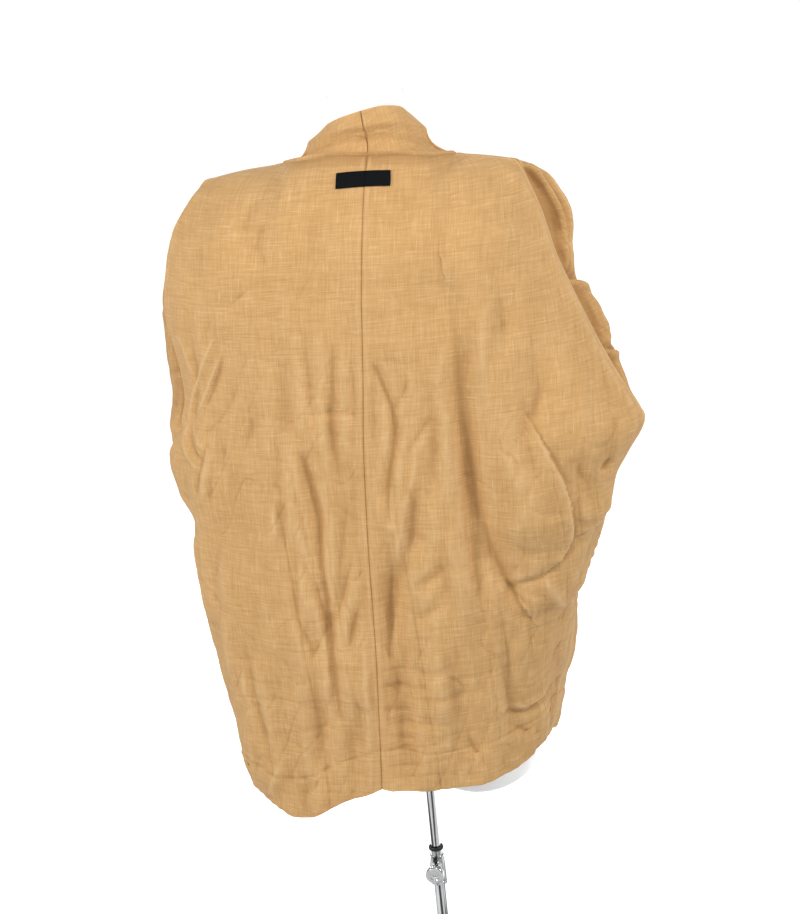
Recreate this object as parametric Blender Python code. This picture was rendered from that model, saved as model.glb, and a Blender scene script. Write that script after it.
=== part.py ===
"""A linen jacket on a limbless dress form with a telescopic stand.

Units are metres, +Z is up and the origin is the middle of the base's underside, on the pole's axis.
The wearer's front faces -Y and the wearer's left is +X. The jacket has its sleeves cut in one with
the body: two backs, two fronts and a two-piece collar band, worked out below as walls of cloth
between named edge lines. Each cloth wall is a grid of points on the outer face and a second one
set in by the wall, closed round its rim.
"""

from math import cos, exp, pi, radians, sin, sqrt

import bmesh
import bpy
import numpy as np
from mathutils import Vector

# ---- driving sizes ------------------------------------------------------------------------------
CLOTH = 0.002            # wall of the shell cloth
BAND = 0.003             # wall of the doubled collar band
SEAM = 0.0003            # gap left at every seam
LABEL = 0.0010           # wall of the woven label
LABEL_SIZE = (0.060, 0.015)
LABEL_PLACE = (-0.012, 1.334)    # x and z of its middle
LABEL_TILT = radians(1.5)

COLUMNS = 18             # grid columns of a back, from its centre seam to its outer edge
FRONT_COLUMNS = 15
ROWS = 27                # grid rows from the shoulder to the hem
BAND_COLUMNS = 5
NECK_COLUMN = 6          # the column of a back that starts at the neck end of the shoulder seam
TOP_SHARE = 0.16         # share of the height in which the cloth turns over the shoulder
BULGE_AT = 0.42          # how far in from the edge the front's bulge reaches, as a share of the row
ROUNDNESS = 2.2          # power of the curve in which a row turns from its middle to its edge

POST_R = 0.0074          # lower tube
POST_BORE_R = 0.0065
POST_TOP = 0.4815
ROD_R = 0.0060
ROD_FOOT = 0.120
SOCKET_R = 0.0064        # bore in the form's underside
SOCKET_DEPTH = 0.070
RING_R = 0.0093
RING_H = 0.0052
CLAMP_BORE_R = 0.0077
CLAMP_R = 0.0108
CLAMP_BELOW = 0.022      # how far the clamp's sleeve reaches below and above the knob's axis
CLAMP_ABOVE = 0.0175
BOSS_R = 0.0062
BOSS_REACH = 0.0158      # how far the boss stands out from the pole's axis
KNOB_R = 0.0115
KNOB_NECK_R = 0.0050
KNOB_THICK = 0.0078
KNOB_REACH = 0.0270
KNOB_Z = 0.4580
KNOB_MIDDLE = 0.0215     # the knob's own origin, out from the pole's axis
BASE_R = 0.155
BASE_H = 0.009
HUB_R = 0.020
HUB_H = 0.022
TUBE_SUNK = 0.003        # how far the lower tube's foot is let into the base
ROUND = 32               # sides of a round piece

# ---- edge lines ---------------------------------------------------------------------------------
# A half's outer edge from the shoulder tip down: overarm fold, cuff, underarm, side and hem corner.
# The back's and the front's edges are one seam but for the rows of the cuff, where they stand apart.
# "swell" is how far the front then stands out past the seam.
EDGE_COLUMNS = ("z", "back_x", "back_y", "front_x", "front_y", "swell")
EDGE = {
    "right": (
        (1.334, 0.172, 0.000, 0.172, 0.000, 0.000),
        (1.322, 0.177, 0.001, 0.177, 0.001, 0.018),
        (1.300, 0.186, 0.002, 0.186, 0.002, 0.032),
        (1.271, 0.196, 0.004, 0.196, 0.004, 0.036),
        (1.225, 0.208, 0.006, 0.208, 0.006, 0.024),
        (1.196, 0.219, 0.008, 0.219, 0.008, 0.011),
        (1.155, 0.236, 0.010, 0.236, 0.010, 0.020),
        (1.114, 0.254, 0.012, 0.254, 0.012, 0.018),
        (1.061, 0.281, 0.014, 0.281, 0.014, 0.008),
        (1.031, 0.298, 0.016, 0.298, 0.016, 0.000),
        (0.993, 0.277, 0.028, 0.266, -0.018, 0.000),
        (0.970, 0.263, 0.034, 0.252, -0.028, 0.000),
        (0.940, 0.255, 0.034, 0.246, -0.028, 0.000),
        (0.921, 0.247, 0.020, 0.241, -0.014, 0.000),
        (0.900, 0.240, 0.002, 0.240, 0.002, 0.000),
        (0.845, 0.217, 0.000, 0.217, 0.000, 0.000),
        (0.820, 0.201, 0.000, 0.201, 0.000, 0.000),
        (0.774, 0.195, 0.000, 0.195, 0.000, 0.000),
        (0.742, 0.189, 0.000, 0.189, 0.000, 0.000),
        (0.704, 0.175, 0.002, 0.175, 0.002, 0.000),
        (0.668, 0.167, 0.006, 0.167, 0.006, 0.000),
        (0.646, 0.159, 0.012, 0.159, 0.012, 0.000),
    ),
    "left": (
        (1.337, 0.194, 0.000, 0.194, 0.000, 0.000),
        (1.312, 0.212, 0.002, 0.212, 0.002, 0.010),
        (1.275, 0.234, 0.004, 0.234, 0.004, 0.018),
        (1.214, 0.249, 0.006, 0.249, 0.006, 0.026),
        (1.188, 0.252, 0.006, 0.252, 0.006, 0.031),
        (1.147, 0.247, 0.006, 0.247, 0.006, 0.039),
        (1.091, 0.241, 0.006, 0.241, 0.006, 0.047),
        (1.045, 0.250, 0.006, 0.250, 0.006, 0.046),
        (1.030, 0.256, 0.004, 0.256, 0.004, 0.038),
        (1.000, 0.258, 0.006, 0.290, -0.050, 0.008),
        (0.970, 0.251, 0.010, 0.290, -0.062, 0.002),
        (0.945, 0.248, 0.006, 0.274, -0.046, 0.000),
        (0.925, 0.251, -0.004, 0.251, -0.004, 0.000),
        (0.899, 0.254, -0.002, 0.254, -0.002, 0.000),
        (0.833, 0.251, 0.000, 0.251, 0.000, 0.000),
        (0.751, 0.241, 0.002, 0.241, 0.002, 0.000),
        (0.669, 0.228, 0.008, 0.228, 0.008, 0.000),
        (0.630, 0.219, 0.015, 0.219, 0.015, 0.000),
        (0.606, 0.211, 0.022, 0.211, 0.022, 0.000),
    ),
}
CUFF_PARTED = 0.008      # the two edges are a seam where they lie closer than this

# The centre back seam, which leans to the wearer's left as it falls, and the depth of the cloth.
CENTRE_COLUMNS = ("z", "x", "depth")
CENTRE = (
    (1.358, -0.015, 0.118),
    (1.270, -0.010, 0.118),
    (1.207, -0.004, 0.121),
    (1.120, 0.002, 0.127),
    (1.038, 0.009, 0.131),
    (0.909, 0.015, 0.136),
    (0.814, 0.017, 0.140),
    (0.718, 0.021, 0.145),
    (0.633, 0.025, 0.150),
)

# The neckline of a back from its centre seam to the shoulder, and the shoulder seam to its tip.
TOP_COLUMNS = ("share", "x", "y", "z")
TOP = {
    "right": (
        (0.00, -0.015, 0.066, 1.3580),
        (0.16, -0.047, 0.064, 1.3570),
        (0.32, -0.082, 0.046, 1.3510),
        (0.45, -0.104, 0.000, 1.3455),
        (0.72, -0.138, 0.000, 1.3405),
        (1.00, -0.172, 0.000, 1.3340),
    ),
    "left": (
        (0.00, -0.015, 0.066, 1.3580),
        (0.16, 0.026, 0.064, 1.3610),
        (0.32, 0.070, 0.046, 1.3565),
        (0.45, 0.100, 0.000, 1.3490),
        (0.72, 0.148, 0.000, 1.3445),
        (1.00, 0.194, 0.000, 1.3370),
    ),
}

# How far the hem hangs below a straight line from its centre to its side, by share of the row.
HEM_COLUMNS = ("share", "drop")
HEM = {
    "right": ((0.0, 0.0), (0.3, 0.004), (0.6, 0.005), (0.85, 0.007), (1.0, 0.0)),
    "left": ((0.0, 0.0), (0.24, 0.010), (0.55, 0.028), (0.83, 0.014), (1.0, 0.0)),
}

# The front's inner edge, where the band is sewn on, and the band's own free edge, both as
# distances from the centre front line.
FRONT_COLUMNS_ROW = ("z", "edge_x", "edge_depth", "band_x", "band_y")
FRONT = (
    (1.345, 0.102, 0.112, 0.058, 0.000),
    (1.318, 0.096, 0.112, 0.050, -0.044),
    (1.262, 0.080, 0.112, 0.032, -0.090),
    (1.190, 0.063, 0.117, 0.014, -0.112),
    (1.090, 0.053, 0.124, 0.004, -0.127),
    (0.980, 0.052, 0.127, 0.003, -0.130),
    (0.800, 0.052, 0.128, 0.003, -0.131),
    (0.622, 0.052, 0.128, 0.003, -0.131),
)
FRONT_DRIFT = 0.028      # how far the centre front leans to the wearer's left at the hem

# The band's free edge behind the neck, by share of its way from the centre back to the shoulder.
# "roll" is how far its lower part rolls out over the neck seam.
STAND_COLUMNS = ("share", "x_right", "x_left", "y", "z_right", "z_left", "roll")
STAND = (
    (0.00, -0.010, -0.010, 0.0560, 1.4075, 1.4075, 0.009),
    (0.35, -0.034, 0.014, 0.0520, 1.4110, 1.4020, 0.009),
    (0.70, -0.052, 0.034, 0.0340, 1.4080, 1.3950, 0.009),
    (1.00, -0.057, 0.048, 0.0000, 1.3960, 1.3860, 0.009),
)
BAND_LIFT = 0.0028       # how far the band's root lies above the neckline
BAND_ROLL = 0.008        # how far the band stands out between its edges on the front
BAND_SEAT = 0.0032       # how far the band lies outside the cloth round the neck

# ---- the largest folds of the backs ---------------------------------------------------------------
# Each runs from its head to its foot, bows sideways by "bow", is "wide" across and stands out by
# "out", or in where that is negative.
FOLD_COLUMNS = ("head_x", "head_z", "foot_x", "foot_z", "bow", "wide", "out")
FOLDS = (
    (-0.100, 1.160, -0.165, 0.870, 0.012, 0.018, -0.013),   # body and right sleeve part
    (-0.190, 1.110, -0.205, 0.935, 0.000, 0.045, 0.010),    # pouch of the right sleeve
    (-0.150, 0.860, -0.235, 0.910, 0.000, 0.016, -0.010),   # under the pouch
    (0.060, 0.980, 0.036, 0.730, 0.004, 0.014, -0.006),     # left of the centre seam
    (0.010, 1.130, 0.000, 0.900, -0.004, 0.014, -0.005),    # along the centre seam
    (0.215, 1.150, 0.240, 1.020, 0.006, 0.016, -0.008),     # gathers of the left sleeve
    (0.150, 1.130, 0.225, 1.020, 0.006, 0.020, 0.007),
    (-0.065, 1.330, -0.025, 1.240, 0.000, 0.024, -0.004),   # below the neck
    (0.150, 1.300, 0.165, 1.240, 0.000, 0.022, -0.004),
    (0.215, 0.900, 0.195, 0.650, 0.004, 0.020, -0.007),     # left side
    (-0.075, 0.880, -0.055, 0.650, 0.004, 0.020, 0.005),
)
FRONT_FOLDS = (
    (0.115, 1.280, 0.150, 0.960, 0.010, 0.024, -0.008),     # chest and sleeve part, both fronts
    (0.120, 0.900, 0.105, 0.640, 0.004, 0.020, -0.006),
)

# ---- the dress form -------------------------------------------------------------------------------
# Rings from its underside to its neck: height, middle, half width, depths behind and before the axis.
FORM_COLUMNS = ("z", "x", "half", "back", "front", "power")
FORM = (
    (0.5740, 0.000, 0.060, 0.046, 0.044, 2.0),
    (0.5800, 0.000, 0.104, 0.074, 0.068, 2.1),
    (0.5960, 0.000, 0.132, 0.095, 0.085, 2.2),
    (0.6350, 0.000, 0.146, 0.105, 0.094, 2.3),
    (0.7000, 0.000, 0.155, 0.112, 0.098, 2.3),
    (0.7600, 0.000, 0.158, 0.112, 0.099, 2.3),
    (0.8400, 0.000, 0.149, 0.101, 0.094, 2.3),
    (0.9200, 0.000, 0.130, 0.087, 0.086, 2.2),
    (0.9900, 0.000, 0.119, 0.080, 0.083, 2.2),
    (1.0600, 0.000, 0.125, 0.082, 0.092, 2.2),
    (1.1200, 0.000, 0.136, 0.087, 0.101, 2.2),
    (1.1700, 0.000, 0.144, 0.091, 0.103, 2.2),
    (1.2200, 0.000, 0.152, 0.091, 0.094, 2.2),
    (1.2650, 0.000, 0.165, 0.083, 0.076, 2.2),
    (1.2950, 0.000, 0.173, 0.070, 0.060, 2.2),
    (1.3150, 0.004, 0.172, 0.054, 0.048, 2.2),
    (1.3280, 0.006, 0.157, 0.044, 0.038, 2.1),
    (1.3350, 0.006, 0.128, 0.041, 0.034, 2.0),
    (1.3420, 0.003, 0.082, 0.041, 0.034, 2.0),
    (1.3530, -0.002, 0.058, 0.043, 0.038, 2.0),
    (1.3750, -0.005, 0.048, 0.042, 0.041, 2.0),
    (1.4000, -0.005, 0.0455, 0.041, 0.040, 2.0),
    (1.4190, -0.005, 0.0450, 0.041, 0.040, 2.0),
    (1.4215, -0.005, 0.0430, 0.039, 0.038, 2.0),
)
FORM_ROUND = 40
FORM_SEAT = 0.0022       # how far the shoulders are lifted to meet the cloth
FORK_RISE = 0.034        # the underside's arch between the two hips, where the pole goes in
FORK_WIDE = 0.050
FORK_FROM = 0.600
FORK_TO = 0.700

# ---- colours --------------------------------------------------------------------------------------
LINEN = ((0.70, 0.42, 0.168), 0.90, 0.0)
LINEN_BAND = ((0.71, 0.43, 0.178), 0.90, 0.0)
LABEL_BLACK = ((0.010, 0.011, 0.012), 0.75, 0.0)
FORM_WHITE = ((0.86, 0.86, 0.85), 0.45, 0.0)
CHROME = ((0.78, 0.79, 0.80), 0.16, 1.0)
RUBBER = ((0.012, 0.012, 0.013), 0.55, 0.0)
BASE_STEEL = ((0.74, 0.74, 0.75), 0.30, 1.0)


# ---- spacing of the grids ---------------------------------------------------------------------------
def spread_share(i, count):
    """Columns lie closer towards the outer edge, where the cloth turns."""
    t = i / count
    return 0.35 * t + 0.65 * sin(t * pi / 2)


def spread_down(j, count):
    """Rows lie closer over the shoulder."""
    t = j / count
    return 0.55 * t + 0.45 * t**2.4


NECK_SHARE = spread_share(NECK_COLUMN, COLUMNS)    # share of a back's top row that is neckline


# ---- curves through the tables ----------------------------------------------------------------------
def smooth(xs, ys, at):
    """A curve through the table's points with no overshoot between them, read at one place."""
    at = min(max(at, xs[0]), xs[-1])
    i = min(max(int(np.searchsorted(xs, at)) - 1, 0), len(xs) - 2)

    def tangent(k):
        if k in (0, len(xs) - 1):
            a, b = (0, 1) if k == 0 else (len(xs) - 2, len(xs) - 1)
            return (ys[b] - ys[a]) / (xs[b] - xs[a])
        before = (ys[k] - ys[k - 1]) / (xs[k] - xs[k - 1])
        after = (ys[k + 1] - ys[k]) / (xs[k + 1] - xs[k])
        if before * after <= 0:
            return 0.0
        return 2 * before * after / (before + after)

    step = xs[i + 1] - xs[i]
    t = (at - xs[i]) / step
    t2, t3 = t * t, t * t * t
    return (
        (2 * t3 - 3 * t2 + 1) * ys[i]
        + (t3 - 2 * t2 + t) * step * tangent(i)
        + (3 * t2 - 2 * t3) * ys[i + 1]
        + (t3 - t2) * step * tangent(i + 1)
    )


def column(rows, names, name):
    return [row[names.index(name)] for row in rows]


def by_height(rows, names, name, z):
    """A column of a table whose rows go down in height, read at a height."""
    heights = column(rows, names, "z")[::-1]
    return smooth(heights, column(rows, names, name)[::-1], z)


def by_share(rows, names, name, share):
    return smooth(column(rows, names, "share"), column(rows, names, name), share)


def height_at(rows, down):
    """The height a share of the way down a table of edge rows."""
    return rows[0][0] + (rows[-1][0] - rows[0][0]) * down


# ---- the panels -------------------------------------------------------------------------------------
def sign(side):
    return -1.0 if side == "right" else 1.0


def edge_is_seam(rows, z):
    """Whether the back's and the front's edges are one at both table rows next to a height."""
    above = [row for row in rows if row[0] >= z][-1:]
    below = [row for row in rows if row[0] <= z][:1]
    return all(row[1:3] == row[3:5] for row in above + below)


def edge_point(side, face, down):
    """The outer edge of a back or a front, a share of the way down."""
    rows = EDGE[side]
    z = height_at(rows, down)
    if edge_is_seam(rows, z):
        face = "back"
    x = by_height(rows, EDGE_COLUMNS, face + "_x", z)
    y = by_height(rows, EDGE_COLUMNS, face + "_y", z)
    return Vector((sign(side) * x, y, z))


def top_point(side, share):
    rows = TOP[side]
    return Vector(tuple(by_share(rows, TOP_COLUMNS, name, share) for name in ("x", "y", "z")))


def centre_drift(z):
    down = (FRONT[0][0] - z) / (FRONT[0][0] - FRONT[-1][0])
    return FRONT_DRIFT * down * down


def inner_point(side, face, down):
    """The centre back seam, or the front's edge to the band. Its y is the full depth there."""
    if face == "back":
        z = height_at(CENTRE, down)
        x = by_height(CENTRE, CENTRE_COLUMNS, "x", z)
        return Vector((x, by_height(CENTRE, CENTRE_COLUMNS, "depth", z), z))
    z = height_at(FRONT, down) + (top_point(side, NECK_SHARE).z - FRONT[0][0]) * (1 - down)
    top_x = abs(top_point(side, NECK_SHARE).x) - FRONT[0][1]
    x = by_height(FRONT, FRONT_COLUMNS_ROW, "edge_x", z) + top_x * max(0.0, 1 - down / 0.2)
    depth = by_height(FRONT, FRONT_COLUMNS_ROW, "edge_depth", z)
    return Vector((sign(side) * x + centre_drift(z), -depth, z))


def fold_out(x, z, folds):
    """How far the folds move the cloth out at a place on the panel."""
    total = 0.0
    for head_x, head_z, foot_x, foot_z, bow, wide, out in folds:
        run_x, run_z = foot_x - head_x, foot_z - head_z
        length2 = run_x * run_x + run_z * run_z
        along = ((x - head_x) * run_x + (z - head_z) * run_z) / length2
        length = sqrt(length2)
        across = ((x - head_x) * -run_z + (z - head_z) * run_x) / length
        held = min(max(along, 0.0), 1.0)
        across -= bow * sin(pi * held)
        beyond = (along - held) * length
        total += out * np.exp(-(across * across + beyond * beyond) / (wide * wide)) * (
            0.35 + 0.65 * sin(pi * (0.15 + 0.7 * held))
        )
    return float(total)


def panel_point(side, face, share, down):
    """The outer face of a panel: share goes from its centre to its edge, down from top to hem."""
    back = face == "back"
    top_share = share if back else NECK_SHARE + (1 - NECK_SHARE) * share
    top = top_point(side, top_share)
    top_in = top_point(side, 0.0 if back else NECK_SHARE)
    top_out = top_point(side, 1.0)
    inner = inner_point(side, face, down)
    outer = edge_point(side, face, down)
    x = (1 - share) * inner.x + share * outer.x
    z = (1 - share) * inner.z + share * outer.z
    x += (1 - down) * (top.x - ((1 - share) * top_in.x + share * top_out.x))
    z += (1 - down) * (top.z - ((1 - share) * top_in.z + share * top_out.z))
    z -= down**6 * by_share(HEM[side], HEM_COLUMNS, "drop", share)
    round_off = (1 - share**ROUNDNESS) ** (1 / ROUNDNESS)
    depth = outer.y + (inner.y - outer.y) * round_off
    fall = min(down / TOP_SHARE, 1.0)
    at_neck = max(0.0, 1 - share / NECK_SHARE) if back else 0.0
    turn = (1 - (1 - fall) ** 2) ** (0.5 + 0.5 * min(1.0, 2 * at_neck))
    y = top.y + (depth - top.y) * turn
    clear = min(1.0, 6 * (1 - share)) * min(1.0, 8 * down)
    if back:
        y += fold_out(x, z, FOLDS) * clear
    else:
        swell = by_height(EDGE[side], EDGE_COLUMNS, "swell", outer.z)
        x += sign(side) * swell * sin(pi * min(1.0, ((1 - share) / BULGE_AT) ** 0.39))
        y -= fold_out(abs(x - centre_drift(z)), z, FRONT_FOLDS) * clear
    return Vector((x, y, z))


def panel_grid(side, face):
    columns = COLUMNS if face == "back" else FRONT_COLUMNS
    return [
        [panel_point(side, face, spread_share(i, columns), spread_down(j, ROWS)) for j in range(ROWS + 1)]
        for i in range(columns + 1)
    ]


def panel_normals(side, face, grid):
    """Outward directions of the grid's points. On a seam they lie in the seam's own plane."""
    columns, rows = len(grid) - 1, len(grid[0]) - 1
    outward = 1.0 if face == "back" else -1.0
    normals = []
    for i in range(columns + 1):
        line = []
        for j in range(rows + 1):
            along = grid[min(i + 1, columns)][j] - grid[max(i - 1, 0)][j]
            down = grid[i][min(j + 1, rows)] - grid[i][max(j - 1, 0)]
            line.append((along.cross(down) * sign(side) * outward).normalized())
        normals.append(line)
    seam = [edge_point(side, "back", spread_down(j, rows)) for j in range(rows + 1)]
    for j in range(rows + 1):
        if (seam[j] - edge_point(side, "front", spread_down(j, rows))).length > CUFF_PARTED:
            continue
        before = seam[j - 1] if j else top_point(side, 0.97)
        run = seam[min(j + 1, rows)] - before
        normals[columns][j] = Vector((-run.z * sign(side), 0, run.x * sign(side))).normalized()
    for i in range(NECK_COLUMN if face == "back" else 0, columns):
        run = grid[i + 1][0] - grid[max(i - 1, 0)][0]
        normals[i][0] = Vector((-run.z * sign(side), 0, run.x * sign(side))).normalized()
    if face == "back":
        for j in range(rows + 1):
            n = normals[0][j]
            normals[0][j] = Vector((0, n.y, n.z)).normalized()
    return normals


def part_at_seams(side, face, grid):
    """Moves the edge points off each seam by half its gap."""
    half = SEAM / 2
    columns, rows = len(grid) - 1, len(grid[0]) - 1
    away = Vector((0, half if face == "back" else -half, 0))
    for j in range(rows + 1):
        grid[columns][j] += away
    for i in range(columns):
        if face == "front" or i >= NECK_COLUMN:
            grid[i][0] += away
    if face == "back":
        for j in range(rows + 1):
            grid[0][j] += Vector((half * sign(side), 0, 0))


# ---- meshes -----------------------------------------------------------------------------------------
def material(name, look):
    colour, roughness, metallic = look
    made = bpy.data.materials.new(name)
    made.use_nodes = True
    surface = made.node_tree.nodes["Principled BSDF"]
    surface.inputs["Base Color"].default_value = (*colour, 1)
    surface.inputs["Roughness"].default_value = roughness
    surface.inputs["Metallic"].default_value = metallic
    made.diffuse_color = (*colour, 1)
    return made


def finish(name, bm, look, smooth_angle=radians(50)):
    """Turns a bmesh into the named object with its own material."""
    bmesh.ops.recalc_face_normals(bm, faces=bm.faces)
    if bm.calc_volume(signed=True) < 0:
        bmesh.ops.reverse_faces(bm, faces=bm.faces)
    mesh = bpy.data.meshes.new(name)
    bm.to_mesh(mesh)
    bm.free()
    mesh.shade_smooth()
    mesh.set_sharp_from_angle(angle=smooth_angle)
    mesh.materials.append(material(name, look))
    made = bpy.data.objects.new(name, mesh)
    bpy.context.scene.collection.objects.link(made)
    return made


def cloth_wall(name, outer, inner, look):
    """A closed wall between two grids of points, outer[i][j] and inner[i][j]."""
    columns, rows = len(outer) - 1, len(outer[0]) - 1
    bm = bmesh.new()
    bmesh.ops.create_grid(bm, x_segments=columns, y_segments=rows, size=0.5)
    place = {v: (round((v.co.x + 0.5) * columns), round((v.co.y + 0.5) * rows)) for v in bm.verts}
    raised = bmesh.ops.extrude_face_region(bm, geom=bm.faces[:])["geom"]
    top = [v for v in raised if isinstance(v, bmesh.types.BMVert)]
    for v in top:
        place[v] = (round((v.co.x + 0.5) * columns), round((v.co.y + 0.5) * rows))
    for v in bm.verts:
        i, j = place[v]
        v.co = outer[i][j] if v in top else inner[i][j]
    return finish(name, bm, look)


def jacket_panel(side, face):
    grid = panel_grid(side, face)
    normals = panel_normals(side, face, grid)
    part_at_seams(side, face, grid)
    inner = [[p - n * CLOTH for p, n in zip(*lines)] for lines in zip(grid, normals)]
    return cloth_wall(f"{face}_{side}", grid, inner, LINEN)


# ---- the collar band ----------------------------------------------------------------------------------
def band_root(side, way):
    """Where the band meets the neckline (way 0 to 1) or the front's edge (way 1 to 2)."""
    if way <= 1:
        root = top_point(side, NECK_SHARE * way)
        return root + Vector((0, -0.001 * (1 - way), BAND_LIFT))
    return panel_point(side, "front", 0.0, way - 1)


def band_free(side, way):
    """The band's free edge: round the neck, then down the front's opening."""
    if way <= 1:
        x = by_share(STAND, STAND_COLUMNS, "x_" + side, way)
        z = by_share(STAND, STAND_COLUMNS, "z_" + side, way)
        return Vector((x, by_share(STAND, STAND_COLUMNS, "y", way), z))
    down = way - 1
    z = height_at(FRONT, down)
    lift = by_share(STAND, STAND_COLUMNS, "z_" + side, 1.0) - FRONT[0][0]
    shift = by_share(STAND, STAND_COLUMNS, "x_" + side, 1.0) - sign(side) * FRONT[0][3]
    fade = max(0.0, 1 - down / 0.25) ** 2
    x = sign(side) * by_height(FRONT, FRONT_COLUMNS_ROW, "band_x", z) + centre_drift(z)
    y = by_height(FRONT, FRONT_COLUMNS_ROW, "band_y", z)
    return Vector((x + shift * fade, y, z + lift * fade))


def band_out(side, way, root, free):
    """The direction in which the band's face looks."""
    ahead = band_root(side, min(way + 0.03, 2.0)) + band_free(side, min(way + 0.03, 2.0))
    behind = band_root(side, max(way - 0.03, 0.0)) + band_free(side, max(way - 0.03, 0.0))
    n = (free - root).cross(ahead - behind) * -sign(side)
    if way < 0.02:
        n.x = 0
    return n.normalized()


def band_point(side, way, across):
    """The outer face of the band: across goes from its seam to its free edge."""
    root, free = band_root(side, way), band_free(side, way)
    out = band_out(side, way, root, free)
    point = root.lerp(free, across)
    if way <= 1:
        roll = by_share(STAND, STAND_COLUMNS, "roll", way)
        bulge = roll * sin(pi * min(1.0, across / 0.62)) ** 0.8
        return point + out * (bulge + BAND_SEAT)
    shape = BAND_ROLL * sin(pi * across) * max(0.25, 1 - (way - 1) / 0.3)
    seat = BAND_SEAT * max(0.0, 1 - (way - 1) / 0.08)
    inward = (free - root).normalized() * (2 * SEAM * (1 - across))
    return point + out * (shape + seat) + inward


def band_ways():
    """The band's rows stand at the columns of the back, with one between, and the rows of the front."""
    neck = [spread_share(i, COLUMNS) / NECK_SHARE for i in range(NECK_COLUMN + 1)]
    back = []
    for here, ahead in zip(neck, neck[1:]):
        back += [here, (here + ahead) / 2]
    return back + [1 + spread_down(j, ROWS) for j in range(ROWS + 1)]


def collar_band(side):
    ways = band_ways()
    outer, inner = [], []
    for way in ways:
        root, free = band_root(side, way), band_free(side, way)
        out = band_out(side, way, root, free)
        line = [band_point(side, way, k / BAND_COLUMNS) for k in range(BAND_COLUMNS + 1)]
        if way == 0:
            for p in line:
                p.x += sign(side) * SEAM / 2
        outer.append(line)
        inner.append([p - out * BAND for p in line])
    return cloth_wall(f"collar_{side}", outer, inner, LINEN_BAND)


# ---- the label --------------------------------------------------------------------------------------
def on_back(x, z):
    """The back's outer face at a place seen from behind."""
    side = "left" if x > by_height(CENTRE, CENTRE_COLUMNS, "x", z) else "right"
    down = (CENTRE[0][0] - z) / (CENTRE[0][0] - CENTRE[-1][0])
    share = 0.1
    for _ in range(30):
        p = panel_point(side, "back", share, down)
        step = panel_point(side, "back", share + 0.01, down)
        share = max(0.0, share + (x - p.x) * 0.01 / (step.x - p.x))
        down = max(0.0, down + (p.z - z) / (CENTRE[0][0] - CENTRE[-1][0]))
    return panel_point(side, "back", share, down)


def label_patch():
    """A small wall laid on the back, from the back's own points moved out."""
    across, tall = 10, 3
    outer, inner = [], []
    middle_x, middle_z = LABEL_PLACE
    reach = LABEL_SIZE[1] / 4
    for i in range(across + 1):
        outer.append([])
        inner.append([])
        for j in range(tall + 1):
            a = (i / across - 0.5) * LABEL_SIZE[0]
            b = (0.5 - j / tall) * LABEL_SIZE[1]
            x = middle_x + a * cos(LABEL_TILT) - b * sin(LABEL_TILT)
            z = middle_z + a * sin(LABEL_TILT) + b * cos(LABEL_TILT)
            p = on_back(x, z)
            up = on_back(x, z + reach) - on_back(x, z - reach)
            out = up.cross(Vector((1, 0, 0))) * -1
            out = out.normalized() if out.y < 0 else -out.normalized()
            inner[-1].append(p - out * 2 * SEAM)
            outer[-1].append(p - out * (2 * SEAM + LABEL))
    return cloth_wall("label", outer, inner, LABEL_BLACK)


# ---- the dress form ---------------------------------------------------------------------------------
def fork(x, z):
    fade = min(1.0, max(0.0, (FORK_TO - z) / (FORK_TO - FORK_FROM)))
    return FORK_RISE * fade * exp(-((x / FORK_WIDE) ** 2))


def form_ring(bm, row):
    z, middle, half, back, front, power = row
    ring = []
    for k in range(FORM_ROUND):
        turn = 2 * pi * k / FORM_ROUND
        c, s = cos(turn), sin(turn)
        x = middle + half * np.sign(c) * abs(c) ** (2 / power)
        y = (back if s > 0 else front) * np.sign(s) * abs(s) ** (2 / power)
        ring.append(bm.verts.new((x, y, z + fork(x, z) + (FORM_SEAT if z > 1.25 else 0))))
    return ring


def dress_form():
    """Lofted rings, closed at the neck and at the underside round the pole's socket."""
    bm = bmesh.new()
    rings = [form_ring(bm, row) for row in FORM]
    under = FORM[0][0] + fork(0, FORM[0][0])
    mouth = circle_verts(bm, SOCKET_R, under, FORM_ROUND)
    roof = circle_verts(bm, SOCKET_R, under + SOCKET_DEPTH, FORM_ROUND)
    loops = [roof, mouth] + rings
    for low, high in zip(loops, loops[1:]):
        for k in range(FORM_ROUND):
            m = (k + 1) % FORM_ROUND
            bm.faces.new((low[k], low[m], high[m], high[k]))
    bm.faces.new(roof)
    bm.faces.new(rings[-1])
    return finish("dress_form", bm, FORM_WHITE)


# ---- the stand --------------------------------------------------------------------------------------
def circle_verts(bm, radius, z, count=ROUND):
    return [
        bm.verts.new((radius * cos(2 * pi * k / count), radius * sin(2 * pi * k / count), z))
        for k in range(count)
    ]


def turned(name, profile, look, turn_to=None):
    """A solid of revolution about Z from a closed profile of (radius, height) corners."""
    bm = bmesh.new()
    loops = [circle_verts(bm, r, z) if r > 0 else None for r, z in profile]
    for low, high in zip(loops, loops[1:] + loops[:1]):
        if low is None or high is None:
            continue
        for k in range(ROUND):
            m = (k + 1) % ROUND
            bm.faces.new((low[k], low[m], high[m], high[k]))
    for a, b in zip(loops, loops[1:] + loops[:1]):
        if a is None and b is not None:
            bm.faces.new(b)
        if b is None and a is not None:
            bm.faces.new(a)
    if turn_to is not None:
        for v in bm.verts:
            v.co = turn_to @ v.co
    return finish(name, bm, look, radians(35))


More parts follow.
